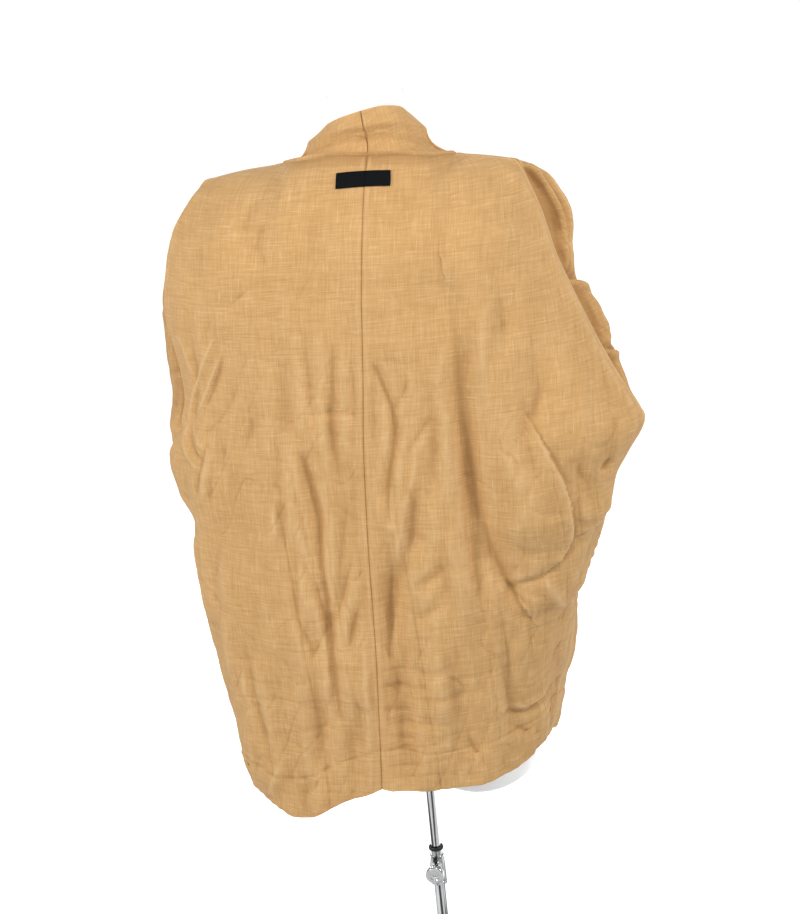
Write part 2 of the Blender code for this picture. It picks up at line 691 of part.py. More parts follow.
def stand():
    turned(
        "base",
        (
            (0, 0), (BASE_R - 0.002, 0), (BASE_R, 0.002), (BASE_R, BASE_H - 0.003),
            (BASE_R - 0.004, BASE_H), (HUB_R + 0.004, BASE_H), (HUB_R, BASE_H + 0.004),
            (HUB_R - 0.002, HUB_H), (POST_R + SEAM, HUB_H), (POST_R + SEAM, BASE_H - TUBE_SUNK),
            (0, BASE_H - TUBE_SUNK),
        ),
        BASE_STEEL,
    )
    foot = BASE_H - TUBE_SUNK + SEAM
    turned(
        "lower_tube",
        ((POST_R, foot), (POST_R, POST_TOP), (POST_BORE_R, POST_TOP), (POST_BORE_R, foot)),
        CHROME,
    )
    ring_z = POST_TOP + SEAM
    turned(
        "bushing_ring",
        (
            (ROD_R + SEAM, ring_z), (RING_R - 0.0012, ring_z), (RING_R, ring_z + 0.0014),
            (RING_R, ring_z + RING_H - 0.001), (RING_R - 0.001, ring_z + RING_H),
            (ROD_R + SEAM, ring_z + RING_H),
        ),
        RUBBER,
    )
    rod_top = FORM[0][0] + fork(0, FORM[0][0]) + SOCKET_DEPTH - SEAM
    turned(
        "pole",
        (
            (0, ROD_FOOT), (ROD_R - 0.001, ROD_FOOT), (ROD_R, ROD_FOOT + 0.001),
            (ROD_R, rod_top - 0.001), (ROD_R - 0.001, rod_top), (0, rod_top),
        ),
        CHROME,
    )
    clamp()


def clamp():
    """A sleeve round the lower tube with a boss behind it, and the screw knob on the boss."""
    sleeve = turned(
        "clamp",
        (
            (CLAMP_BORE_R, KNOB_Z - CLAMP_BELOW), (CLAMP_R - 0.0008, KNOB_Z - CLAMP_BELOW),
            (CLAMP_R, KNOB_Z - CLAMP_BELOW + 0.002), (CLAMP_R, KNOB_Z + BOSS_R),
            (CLAMP_R - 0.002, KNOB_Z + CLAMP_ABOVE - 0.0005), (CLAMP_BORE_R, KNOB_Z + CLAMP_ABOVE),
        ),
        CHROME,
    )
    to_back = Vector((0, 1, 0)).to_track_quat("Z", "Y").to_matrix().to_4x4()
    to_back.translation = Vector((0, 0, KNOB_Z))
    boss = turned(
        "boss",
        (
            (0, CLAMP_R - 0.002), (BOSS_R, CLAMP_R - 0.002), (BOSS_R, BOSS_REACH - 0.0008),
            (BOSS_R - 0.0008, BOSS_REACH), (0, BOSS_REACH),
        ),
        CHROME,
        to_back,
    )
    joined = sleeve.modifiers.new("boss", "BOOLEAN")
    joined.operation = "UNION"
    joined.object = boss
    boss.hide_render = True
    boss.display_type = "WIRE"
    knob = turned(
        "clamp_knob",
        (
            (0, BOSS_REACH + SEAM), (KNOB_NECK_R, BOSS_REACH + SEAM),
            (KNOB_NECK_R, KNOB_REACH - KNOB_THICK - 0.0002), (KNOB_R - 0.0010, KNOB_REACH - KNOB_THICK),
            (KNOB_R, KNOB_REACH - KNOB_THICK + 0.0010), (KNOB_R, KNOB_REACH - 0.0012),
            (KNOB_R - 0.0012, KNOB_REACH), (0, KNOB_REACH),
        ),
        CHROME,
        to_back,
    )
    axis = Vector((0, KNOB_MIDDLE, KNOB_Z))
    for v in knob.data.vertices:
        v.co -= axis
    knob.location = axis


def main():
    for old in list(bpy.data.objects):
        bpy.data.objects.remove(old)
    for side in ("left", "right"):
        for face in ("back", "front"):
            jacket_panel(side, face)
        collar_band(side)
    label_patch()
    dress_form()
    stand()


main()
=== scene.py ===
"""The looks of a linen jacket on a limbless dress form with a telescopic stand.

Metres, +Z up, origin under the middle of the base on the pole's axis. The wearer's front faces -Y
and the wearer's left is +X. The cloth is six panels: two backs and two fronts with their sleeves
cut in one, and the two halves of the collar band. Each is a thin shell on its solid's form, with
its creases pressed in, its seam allowances turned in and its grain kept as a UV map in metres,
which the weave follows.
"""

import logging
import math
from dataclasses import dataclass
from enum import Enum
from typing import Iterable, NamedTuple, Sequence

import bmesh
import bpy
import numpy as np
from mathutils import Matrix, Vector
from mathutils.bvhtree import BVHTree


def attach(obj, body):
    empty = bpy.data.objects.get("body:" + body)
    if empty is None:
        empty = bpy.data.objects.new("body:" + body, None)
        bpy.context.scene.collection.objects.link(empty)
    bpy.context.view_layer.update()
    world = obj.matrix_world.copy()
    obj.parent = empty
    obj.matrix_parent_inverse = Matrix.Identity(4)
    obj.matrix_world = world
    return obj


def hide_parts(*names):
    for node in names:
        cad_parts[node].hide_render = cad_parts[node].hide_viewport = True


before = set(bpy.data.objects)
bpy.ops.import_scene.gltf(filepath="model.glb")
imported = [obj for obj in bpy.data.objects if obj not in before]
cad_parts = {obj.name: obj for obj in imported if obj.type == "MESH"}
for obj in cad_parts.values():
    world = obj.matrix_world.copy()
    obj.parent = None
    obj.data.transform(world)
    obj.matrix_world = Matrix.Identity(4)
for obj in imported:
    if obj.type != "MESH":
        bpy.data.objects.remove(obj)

logging.basicConfig(level=logging.INFO, format="%(message)s")
LOG = logging.getLogger("jacket")

Grid = np.ndarray
MILLIMETRE = 0.001
GRAIN = "grain"          # name of the cloth's UV map, in metres along the weft and the warp
# The cloth's attribute is painted light: pale pressed edges and painted highlight up to 1, painted shade down
# to -1.
PAINTED_LIGHT_AND_WEAR = "painted_light_and_wear"            # name of the cloth's attribute: 1 on a pressed edge, -1 in a groove


# ---- shader maths ------------------------------------------------------------------------------


class Signal:
    """A number that varies over a surface, with the usual arithmetic."""

    def __init__(self, dress: "Dressing", socket: bpy.types.NodeSocket) -> None:
        """Wraps an output socket of a material's nodes."""
        self.dress = dress
        self.socket = socket

    def __add__(self, other: "Signal | float") -> "Signal":
        """Sum."""
        return self.dress.maths("ADD", self, other)

    def __sub__(self, other: "Signal | float") -> "Signal":
        """Difference."""
        return self.dress.maths("SUBTRACT", self, other)

    def __rsub__(self, other: float) -> "Signal":
        """Difference from a plain number."""
        return self.dress.maths("SUBTRACT", other, self)

    def __mul__(self, other: "Signal | float") -> "Signal":
        """Product."""
        return self.dress.maths("MULTIPLY", self, other)

    def __truediv__(self, other: "Signal | float") -> "Signal":
        """Quotient."""
        return self.dress.maths("DIVIDE", self, other)

    __radd__ = __add__
    __rmul__ = __mul__

    def floor(self) -> "Signal":
        """The whole number below."""
        return self.dress.maths("FLOOR", self)

    def sine(self) -> "Signal":
        """Sine, of radians."""
        return self.dress.maths("SINE", self)

    def size(self) -> "Signal":
        """Absolute value."""
        return self.dress.maths("ABSOLUTE", self)

    def power(self, exponent: float) -> "Signal":
        """Power."""
        return self.dress.maths("POWER", self, exponent)

    def between(self, low: float, high: float) -> "Signal":
        """Rises smoothly from 0 at low to 1 at high.

        Args:
            low: Where it is still 0.
            high: Where it becomes 1.

        Returns:
            The mask.
        """
        node = self.dress.node(
            "ShaderNodeMapRange",
            {"interpolation_type": "SMOOTHSTEP"},
            {"Value": self, "From Min": low, "From Max": high},
        )
        return Signal(self.dress, node.outputs["Result"])


class Dressing:
    """A material in the making, with one method for nodes and one for arithmetic."""

    def __init__(self, name: str) -> None:
        """Starts an empty material with its Principled surface.

        Args:
            name: The material's name.
        """
        self.material = bpy.data.materials.new(name)
        self.material.use_nodes = True
        self.tree = self.material.node_tree
        self.surface = self.tree.nodes["Principled BSDF"]

    def node(
        self,
        kind: str,
        settings: dict[str, object] | None = None,
        values: dict[str | int, object] | None = None,
    ) -> bpy.types.Node:
        """Adds a node.

        Args:
            kind: The node's type.
            settings: Its own settings, set before its sockets.
            values: What goes into each socket: a number, a tuple, a Signal or a socket.

        Returns:
            The node.
        """
        made = self.tree.nodes.new(kind)
        for key, value in (settings or {}).items():
            setattr(made, key, value)
        for key, value in (values or {}).items():
            self.feed(made.inputs[key], value)
        return made

    def feed(self, socket: bpy.types.NodeSocket, value: object) -> None:
        """Puts a number, a tuple, a Signal or another socket into a socket."""
        if isinstance(value, Signal):
            self.tree.links.new(value.socket, socket)
        elif isinstance(value, bpy.types.NodeSocket):
            self.tree.links.new(value, socket)
        else:
            socket.default_value = value

    def maths(self, operation: str, *values: Signal | float) -> Signal:
        """Adds a Math node.

        Args:
            operation: The Math node's operation.
            values: Its operands.

        Returns:
            Its result.
        """
        made = self.node("ShaderNodeMath", {"operation": operation}, dict(enumerate(values)))
        return Signal(self, made.outputs[0])

    def grain(self) -> tuple[Signal, Signal]:
        """The cloth's own coordinates across and down, in metres."""
        source = self.node("ShaderNodeUVMap", {"uv_map": GRAIN})
        parts = self.node("ShaderNodeSeparateXYZ", {}, {0: source.outputs[0]})
        return Signal(self, parts.outputs[0]), Signal(self, parts.outputs[1])

    def place(self) -> tuple[Signal, Signal, Signal]:
        """Object coordinates, in metres."""
        source = self.node("ShaderNodeTexCoord")
        parts = self.node("ShaderNodeSeparateXYZ", {}, {0: source.outputs["Object"]})
        return tuple(Signal(self, out) for out in parts.outputs)

    def vector(self, x: Signal | float, y: Signal | float, z: Signal | float = 0.0) -> bpy.types.NodeSocket:
        """Joins three values into a vector."""
        return self.node("ShaderNodeCombineXYZ", {}, {0: x, 1: y, 2: z}).outputs[0]

    def noise(self, where: bpy.types.NodeSocket, detail: float = 1.0, rough: float = 0.5) -> Signal:
        """Smooth noise from about 0 to 1, with features one unit apart.

        Args:
            where: The vector it is read at.
            detail: How many finer layers are added.
            rough: How strong the finer layers are.

        Returns:
            The noise.
        """
        made = self.node(
            "ShaderNodeTexNoise",
            {"noise_dimensions": "3D"},
            {"Vector": where, "Scale": 1.0, "Detail": detail, "Roughness": rough},
        )
        return Signal(self, made.outputs[0])

    def blend(self, share: Signal | float, low: object, high: object) -> bpy.types.NodeSocket:
        """Mixes two colours.

        Args:
            share: How much of the second.
            low: The first colour, a tuple or a socket.
            high: The second colour.

        Returns:
            The mixed colour's socket.
        """
        made = self.node("ShaderNodeMix", {"data_type": "RGBA"}, {0: share, 6: low, 7: high})
        return made.outputs[2]

    def bump(
        self, height: Signal, distance: float, strength: float, normal: object = None
    ) -> bpy.types.NodeSocket:
        """Adds a Bump node.

        Args:
            height: The relief, from 0 to 1.
            distance: What 1 stands for, in metres.
            strength: How far the relief tilts the surface.
            normal: A bump that this one lies on.

        Returns:
            The normal's socket.
        """
        made = self.node("ShaderNodeBump", {}, {"Height": height, "Distance": distance, "Strength": strength})
        if normal is not None:
            self.feed(made.inputs["Normal"], normal)
        return made.outputs[0]

    def set(self, **values: object) -> None:
        """Sets the surface's own sockets, named with _ for a space."""
        for key, value in values.items():
            self.feed(self.surface.inputs[key.replace("_", " ")], value)


# ---- finishes ----------------------------------------------------------------------------------

Colour = tuple[float, float, float, float]


def rgb(red: float, green: float, blue: float) -> Colour:
    """A solid colour."""
    return (red, green, blue, 1.0)


@dataclass(frozen=True)
class Linen:
    """Plain-woven linen with uneven yarns both ways, matt and a little crumpled, with painted shade and
    painted highlight.
    """

    name: str = "linen_cloth"
    body: Colour = rgb(0.600, 0.352, 0.140)
    dark_yarn: Colour = rgb(0.465, 0.260, 0.103)
    pale_yarn: Colour = rgb(0.735, 0.470, 0.228)
    # Pale colour of slubs and pressed edges, also painted on ridges and edges as highlight.
    pale_and_painted_light: Colour = rgb(0.800, 0.560, 0.300)
    # Painted shade, for grooves, troughs and cloth under an overlap.
    shade: Colour = rgb(0.340, 0.170, 0.055)
    yarn: float = 1.00 * MILLIMETRE
    tone_length: float = 30 * MILLIMETRE
    slub_length: float = 26 * MILLIMETRE
    slub_width: float = 22 * MILLIMETRE
    patch: float = 42 * MILLIMETRE
    crinkle: float = 9 * MILLIMETRE
    weave_height: float = 0.10 * MILLIMETRE
    crinkle_height: float = 0.50 * MILLIMETRE
    slub_share: float = 0.40
    pale_and_highlight_share: float = 0.60
    shade_share: float = 0.58

    def yarns(self, dress: Dressing, across: Signal, along: Signal, seed: float) -> Signal:
        """The tone of each yarn of one direction, from 0 to 1, changing slowly along it.

        Args:
            dress: The material in the making.
            across: The coordinate across the yarns.
            along: The coordinate along them.
            seed: Sets this direction's yarns apart from the other's.

        Returns:
            The tone.
        """
        number = (across / self.yarn).floor()
        return dress.noise(dress.vector(number * 2.37 + seed, along / self.tone_length, seed), 2.0, 0.55)

    def slubs(self, dress: Dressing, across: Signal, down: Signal) -> Signal:
        """Where a yarn of either direction is thick for a short length."""
        warp, weft = (across / self.yarn).floor() * 0.61, (down / self.yarn).floor() * 0.61
        upright = dress.noise(dress.vector(warp, down / self.slub_length, 20.0), 0.0)
        level = dress.noise(dress.vector(across / self.slub_width, weft, 31.0), 0.0)
        return upright.between(0.78, 0.86) + level.between(0.77, 0.85)

    def make(self) -> bpy.types.Material:
        """Builds the material."""
        dress = Dressing(self.name)
        across, down = dress.grain()
        turn_across = across / self.yarn * math.pi
        turn_down = down / self.yarn * math.pi
        warp = self.yarns(dress, across, down, 3.1)
        weft = self.yarns(dress, down, across, 8.7)
        parity = turn_across.sine() * turn_down.sine()
        over = parity.between(-0.9, 0.9)
        tone = warp * over + weft * (1.0 - over)
        tone = tone * 0.5 + (warp + weft) * 0.25
        wide = dress.noise(dress.vector(across / self.patch, down / (self.patch * 1.6), 1.0), 3.0, 0.55)
        streak = dress.noise(dress.vector(across / 0.0040, down / 0.120, 5.0), 2.0, 0.5)
        weft_streak = dress.noise(dress.vector(across / 0.100, down / 0.0035, 9.0), 2.0, 0.5)
        tone = tone * 0.78 + wide * 0.15 + streak * 0.05 + weft_streak * 0.02
        colour = dress.blend(tone.between(0.52, 0.27), self.body, self.dark_yarn)
        colour = dress.blend(tone.between(0.48, 0.70), colour, self.pale_yarn)
        colour = dress.blend(self.slubs(dress, across, down) * self.slub_share, colour, self.pale_and_painted_light)
        # Painted light: pale pressed edges and painted highlight where the attribute is above 0, painted
        # shade where it is below 0.
        painted_light_and_wear = Signal(dress, dress.node("ShaderNodeAttribute", {"attribute_name": PAINTED_LIGHT_AND_WEAR}).outputs["Fac"])
        colour = dress.blend(painted_light_and_wear.between(0.0, 1.0) * self.pale_and_highlight_share, colour, self.pale_and_painted_light)
        colour = dress.blend(painted_light_and_wear.between(0.0, -1.0) * self.shade_share, colour, self.shade)
        crinkle = dress.noise(
            dress.vector(across / self.crinkle, down / (self.crinkle * 1.5), 2.0), 4.0, 0.55
        )
        relief = dress.bump(crinkle, self.crinkle_height, 0.7)
        relief = dress.bump(parity * 0.3 + tone * 1.4, self.weave_height, 0.4, relief)
        dress.set(
            Base_Color=colour, Normal=relief, Roughness=0.92, Specular_IOR_Level=0.25,
            Sheen_Weight=0.16, Sheen_Roughness=0.5, Sheen_Tint=rgb(1.0, 0.86, 0.66),
        )
        return dress.material


@dataclass(frozen=True)
class LabelWeave:
    """A bare, dark damask-woven label."""

    name: str = "label_weave"
    body: Colour = rgb(0.0025, 0.0032, 0.0036)
    thread: Colour = rgb(0.0070, 0.0085, 0.0095)
    yarn: float = 0.35 * MILLIMETRE

    def make(self) -> bpy.types.Material:
        """Builds the material."""
        dress = Dressing(self.name)
        across, down = dress.grain()
        twill = ((across + down * 2.0) / self.yarn * math.pi).sine().size()
        edge = dress.noise(dress.vector(across / 0.004, down / 0.0006, 3.0), 2.0)
        tone = twill * 0.7 + edge * 0.3
        dress.set(
            Base_Color=dress.blend(tone, self.body, self.thread),
            Normal=dress.bump(tone, 0.06 * MILLIMETRE, 0.5),
            Roughness=0.80, Specular_IOR_Level=0.08,
        )
        return dress.material


@dataclass(frozen=True)
class FormSkin:
    """The form's smooth white satin shell, faintly uneven, with a faint painted glow."""

    name: str = "form_shell"
    body: Colour = rgb(0.93, 0.93, 0.925)
    shade: Colour = rgb(0.89, 0.895, 0.90)
    glow: float = 0.12

    def make(self) -> bpy.types.Material:
        """Builds the material."""
        dress = Dressing(self.name)
        x, y, z = dress.place()
        cloud = dress.noise(dress.vector(x / 0.09, y / 0.09, z / 0.12), 3.0)
        peel = dress.noise(dress.vector(x / 0.0022, y / 0.0022, z / 0.0022), 1.0)
        # The emission is a painted glow that brightens the white shell as though lit.
        dress.set(
            Base_Color=dress.blend(cloud.between(0.42, 0.75), self.body, self.shade),
            Roughness=cloud * 0.10 + 0.38,
            Normal=dress.bump(peel, 0.05 * MILLIMETRE, 0.25),
            Coat_Weight=0.15, Coat_Roughness=0.25,
            Emission_Color=self.body, Emission_Strength=self.glow,
        )
        return dress.material


@dataclass(frozen=True)
class Chrome:
    """Polished chrome with fine wiping marks, and dark upright bands of painted reflection on all but the
    knob's disc.
    """

    name: str = "chrome_plate"
    body: Colour = rgb(0.80, 0.81, 0.82)
    dull: Colour = rgb(0.62, 0.63, 0.64)
    painted_reflection_dark: Colour = rgb(0.10, 0.10, 0.105)
    painted_reflection_y: tuple[float, float] = (14 * MILLIMETRE, 12 * MILLIMETRE)

    def make(self) -> bpy.types.Material:
        """Builds the material."""
        dress = Dressing(self.name)
        x, y, z = dress.place()
        marks = dress.noise(dress.vector(x / 0.0012, y / 0.0012, z / 0.030), 3.0, 0.6)
        haze = dress.noise(dress.vector(x / 0.02, y / 0.02, z / 0.04), 2.0)
        streak = dress.noise(dress.vector(x / 0.0042, y / 0.0042, z / 0.30), 1.0, 0.5)
        plain = dress.blend(haze.between(0.5, 0.8), self.body, self.dull)
        # Painted reflection: dark upright bands standing in for dark surroundings mirrored in the tubes.
        painted_reflection_bands = streak.between(0.52, 0.60) * y.between(*self.painted_reflection_y)
        dress.set(
            Base_Color=dress.blend(painted_reflection_bands, plain, self.painted_reflection_dark),
            Metallic=1.0,
            Roughness=marks * 0.10 + haze * 0.08 + 0.05,
            Normal=dress.bump(marks, 0.02 * MILLIMETRE, 0.10),
        )
        return dress.material


@dataclass(frozen=True)
class Rubber:
    """Matt black bushing."""

    name: str = "black_bushing"
    body: Colour = rgb(0.010, 0.010, 0.011)
    dust: Colour = rgb(0.045, 0.044, 0.042)

    def make(self) -> bpy.types.Material:
        """Builds the material."""
        dress = Dressing(self.name)
        x, y, z = dress.place()
        speck = dress.noise(dress.vector(x / 0.001, y / 0.001, z / 0.001), 2.0)
        dress.set(
            Base_Color=dress.blend(speck.between(0.55, 0.85), self.body, self.dust),
            Roughness=speck * 0.2 + 0.38,
            Normal=dress.bump(speck, 0.04 * MILLIMETRE, 0.3),
        )
        return dress.material


@dataclass(frozen=True)
class BrushedSteel:
    """Turned steel: fine rings round the base's axis."""

    name: str = "turned_steel"
    body: Colour = rgb(0.62, 0.62, 0.63)
    ring: float = 0.7 * MILLIMETRE

    def make(self) -> bpy.types.Material:
        """Builds the material."""
        dress = Dressing(self.name)
        x, y, z = dress.place()
        radius = (x * x + y * y).power(0.5)
        rings = dress.noise(dress.vector(radius / self.ring, z / 0.002), 3.0, 0.7)
        haze = dress.noise(dress.vector(x / 0.05, y / 0.05), 2.0)
        pale = tuple(1.18 * part for part in self.body[:3]) + (1.0,)
        dress.set(
            Base_Color=dress.blend(rings * 0.6 + haze * 0.3, self.body, pale),
            Metallic=1.0,
            Roughness=rings * 0.16 + haze * 0.08 + 0.18,
            Normal=dress.bump(rings, 0.02 * MILLIMETRE, 0.2),
        )
        return dress.material


@dataclass(frozen=True)
class Paper:
    """The plain pale floor, which glows white before the stand and a little far round it."""

    name: str = "pale_floor"
    body: Colour = rgb(0.66, 0.66, 0.66)
    glow: float = 1.0
    near: float = 0.20
    far: float = 0.75
    ring: float = 0.9
    ring_share: float = 0.24

    def make(self) -> bpy.types.Material:
        """Builds the material."""
        dress = Dressing(self.name)
        x, y, _ = dress.place()
        radius = (x * x + y * y).power(0.5)
        round_about = radius.between(self.ring, 2.5 * self.ring)
        lit = y.between(-self.near, -self.far) + round_about * self.ring_share
        dress.set(
            Base_Color=self.body, Roughness=0.9, Specular_IOR_Level=0.0, Emission_Strength=self.glow,
            Emission_Color=dress.blend(lit, rgb(0, 0, 0), rgb(1, 1, 1)),
        )
        return dress.material


# ---- curves and small fields -------------------------------------------------------------------


class Curve:
    """A curve through a table's points with no overshoot between them."""

    def __init__(self, at: Iterable[float], value: Iterable[float]) -> None:
        """Works out the tangents.

        Args:
            at: Where the points lie, in any order.
            value: Their values.
        """
        places, values = np.array(list(at), float), np.array(list(value), float)
        order = np.argsort(places)
        self.at, self.value = places[order], values[order]
        slopes = np.diff(self.value) / np.diff(self.at)
        before, after = slopes[:-1], slopes[1:]
        total = np.where(before * after > 0, before + after, 1.0)
        inner = np.where(before * after > 0, 2 * before * after / total, 0.0)
        self.tangent = np.concatenate([slopes[:1], inner, slopes[-1:]])

    def __call__(self, where: Grid | float) -> Grid:
        """Reads the curve."""
        held = np.clip(where, self.at[0], self.at[-1])
        i = np.clip(np.searchsorted(self.at, held) - 1, 0, len(self.at) - 2)
        step = self.at[i + 1] - self.at[i]
        t = (held - self.at[i]) / step
        t2, t3 = t * t, t * t * t
        return (
            (2 * t3 - 3 * t2 + 1) * self.value[i]
            + (t3 - 2 * t2 + t) * step * self.tangent[i]
            + (3 * t2 - 2 * t3) * self.value[i + 1]
            + (t3 - t2) * step * self.tangent[i + 1]
        )


def eased(value: Grid | float, low: float, high: float) -> Grid:
    """Rises smoothly from 0 at low to 1 at high, which may lie either way round."""
    t = np.clip((np.asarray(value, float) - low) / (high - low), 0, 1)
    return t * t * (3 - 2 * t)


def dot_length(vectors: Grid) -> Grid:
    """Lengths along the last axis."""
    return np.sqrt((vectors * vectors).sum(-1))


def unit(vectors: Grid) -> Grid:
    """Vectors of length 1 along the last axis."""
    return vectors / np.maximum(dot_length(vectors), 1e-12)[..., None]


def running(steps: Grid, axis: int = 0) -> Grid:
    """Running totals along an axis, from 0."""
    total = np.cumsum(steps, axis)
    return np.concatenate([np.zeros_like(total.take([0], axis)), total], axis)


def run_along(points: Grid, axis: int = 0) -> Grid:
    """The length run along an axis of a grid of points, from 0."""
    return running(dot_length(np.diff(points, axis=axis)), axis)


def hump(value: Grid, middle: float | Grid, wide: float | Grid) -> Grid:
    """Rises smoothly to 1 at a middle, and is small past its width on both sides."""
    return np.exp(-(((value - middle) / wide) ** 2))


@dataclass(frozen=True)
class Crease:
    """A fold line pressed into a panel, from its head to its foot, in x and z as seen from behind.

    It goes in by deep, or out where deep is negative. lip is how far the cloth beside it rises, as
    a share of deep: on the +X side of a line that runs down where positive, else on the other. Where
    it is lapped, one side folds over the other: high on the lip's side, low on the other.
    """

    line: tuple[tuple[float, float], ...]
    wide: float
    deep: float
    crisp: float = 1.7
    lip: float = 0.0
    lapped: bool = False

    def rounded(self) -> Grid:
        """The line's points with its corners rounded."""
        points = np.array(self.line, float)
        for _ in range(2 if len(points) > 2 else 0):
            cut = [points[0]]
            for a, b in zip(points, points[1:]):
                cut += [0.75 * a + 0.25 * b, 0.25 * a + 0.75 * b]
            points = np.array(cut + [points[-1]])
        return points

    def press(self, x: Grid, z: Grid) -> Grid:
        """How far the cloth moves out at each place.

        Args:
            x: Where, across.
            z: Where, in height.

        Returns:
            The movement along the cloth's outward side.
        """
        out = np.zeros_like(x)
        reach = (8.0 if self.lapped else 4.2) * self.wide
        points = self.rounded()
        low, high = points.min(0) - reach, points.max(0) + reach
        near = (x > low[0]) & (x < high[0]) & (z > low[1]) & (z < high[1])
        px, pz = x[near], z[near]
        nearest = np.full(px.shape, 1e9)
        aside = np.zeros_like(px)
        along = np.zeros_like(px)
        lengths = dot_length(np.diff(points, axis=0))
        total, so_far = lengths.sum(), 0.0
        for (ax, az), (bx, bz), length in zip(points, points[1:], lengths):
            dx, dz = (bx - ax) / length, (bz - az) / length
            reached = (px - ax) * dx + (pz - az) * dz
            held = np.clip(reached, 0, length)
            off_x, off_z = px - ax - held * dx, pz - az - held * dz
            distance = np.hypot(off_x, off_z)
            closer = distance < nearest
            nearest = np.where(closer, distance, nearest)
            side = (px - ax) * -dz + (pz - az) * dx
            aside = np.where(closer, np.sign(side) * distance, aside)
            along = np.where(closer, (so_far + held) / total, along)
            so_far += length
        fade = np.sin(math.pi * (0.08 + 0.84 * along)) ** 0.7
        pressed = -np.exp(-((nearest / self.wide) ** self.crisp))
        if self.lapped:
            high = aside * np.sign(self.lip)
            over = np.exp(-np.maximum(high, 0) / (2.2 * self.wide)) * np.tanh(np.maximum(high, 0) / 0.0016)
            under = np.exp(-((np.maximum(-high, 0) / (1.1 * self.wide)) ** 1.3))
            pressed = np.where(high > 0, abs(self.lip) * over, -under)
        elif self.lip:
            raised = (aside * np.sign(self.lip) - 1.7 * self.wide) / (1.15 * self.wide)
            pressed += abs(self.lip) * np.exp(-raised * raised)
        out[near] = self.deep * fade * pressed
        return out


@dataclass
class Crumple:
    """Uneven small wrinkles: layers of seeded lattices, smoothly joined."""

    seed: int

    def __post_init__(self) -> None:
        """Starts the layers' own random draws."""
        self.draws = np.random.default_rng(self.seed)

    def layer(self, across: Grid, down: Grid, cell: tuple[float, float], turn: float = 0.0) -> Grid:
        """One layer, from -1 to 1.

        Args:
            across: The cloth's coordinate across.
            down: The one down.
            cell: The lattice's cell across and down.
            turn: How far the lattice is turned, in radians.

        Returns:
            The layer's value at each place.
        """
        u = (across * math.cos(turn) + down * math.sin(turn)) / cell[0]
        v = (down * math.cos(turn) - across * math.sin(turn)) / cell[1]
        u, v = u - u.min(), v - v.min()
        lattice = self.draws.uniform(-1, 1, (int(u.max()) + 3, int(v.max()) + 3))
        i, j = u.astype(int), v.astype(int)
        s, t = u - i, v - j
        s, t = s * s * s * (s * (6 * s - 15) + 10), t * t * t * (t * (6 * t - 15) + 10)
        low = lattice[i, j] * (1 - s) + lattice[i + 1, j] * s
        high = lattice[i, j + 1] * (1 - s) + lattice[i + 1, j + 1] * s
        return low * (1 - t) + high * t

    def ridged(self, across: Grid, down: Grid, cell: tuple[float, float], turn: float = 0.0) -> Grid:
        """A layer of sharp-bottomed wrinkles, mostly near 0 and down to -1 in them."""
        value = self.layer(across, down, cell, turn)
        return -np.exp(-(np.abs(value) / 0.16) ** 1.3)


# ---- putting a piece into the scene ------------------------------------------------------------


class Body(Enum):
    """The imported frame's bodies."""

    TORSO = "torso"
    STAND = "stand"
    KNOB = "knob"


def settle(
    name: str,
    bm: bmesh.types.BMesh,
    finish: bpy.types.Material,
    body: Body,
    nodes: Sequence[str] = (),
    sharp: float = 60.0,
) -> bpy.types.Object:
    """Turns a bmesh into a piece that rides on its body.

    Args:
        name: The piece's name.
        bm: Its mesh, in place.
        finish: Its material.
        body: The body it rides on.
        nodes: The solids that it stands for.
        sharp: Edges steeper than this many degrees are shaded sharp.

    Returns:
        The piece.
    """
    mesh = bpy.data.meshes.new(name)
    bm.to_mesh(mesh)
    bm.free()
    mesh.shade_smooth()
    mesh.set_sharp_from_angle(angle=math.radians(sharp))
    mesh.materials.append(finish)
    piece = bpy.data.objects.new(name, mesh)
    bpy.context.scene.collection.objects.link(piece)
    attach(piece, body.value)
    if nodes:
        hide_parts(*nodes)
    LOG.info("%s: %d faces on %s", name, len(mesh.polygons), body.value)
    return piece


def cloth_mesh(points: Grid, across: Grid, down: Grid, painted_light_and_wear: Grid, turned: bool) -> bmesh.types.BMesh:
    """A sheet of cloth from a grid of points.

    Args:
        points: The points, [column, row, xyz].
        across: Each point's grain coordinate across.
        down: Each point's grain coordinate down.
        painted_light_and_wear: Each point's painted light, from -1, painted shade, to 1, pale pressed edge
            and painted highlight.
        turned: Whether the faces have to be turned to look outwards.

    Returns:
        The mesh, with its grain as a UV map.
    """
    columns, rows = points.shape[0] - 1, points.shape[1] - 1
    bm = bmesh.new()
    bmesh.ops.create_grid(bm, x_segments=columns, y_segments=rows, size=0.5)
    grain = bm.loops.layers.uv.new(GRAIN)
    pale_and_painted_light = bm.verts.layers.float.new(PAINTED_LIGHT_AND_WEAR)
    for vert in bm.verts:
        i = round((vert.co.x + 0.5) * columns)
        j = round((vert.co.y + 0.5) * rows)
        vert.co = points[i, j]
        vert[pale_and_painted_light] = painted_light_and_wear[i, j]
        for loop in vert.link_loops:
            loop[grain].uv = (across[i, j], down[i, j])
    if turned:
        bmesh.ops.reverse_faces(bm, faces=bm.faces)
    return bm


def thicken(piece: bpy.types.Object, wall: float) -> None:
    """Gives a sheet its wall, inwards from its outer face."""
    solid = piece.modifiers.new("wall", "SOLIDIFY")
    solid.thickness = wall
    solid.offset = -1.0
    solid.use_even_offset = False


# ---- the jacket's cut --------------------------------------------------------------------------


class Side(Enum):
    """The wearer's left or right half; the value is the sign of its x."""

    RIGHT = -1.0
    LEFT = 1.0


class Face(Enum):
    """Back or front; the value is the sign of its outward y."""

    BACK = 1.0
    FRONT = -1.0


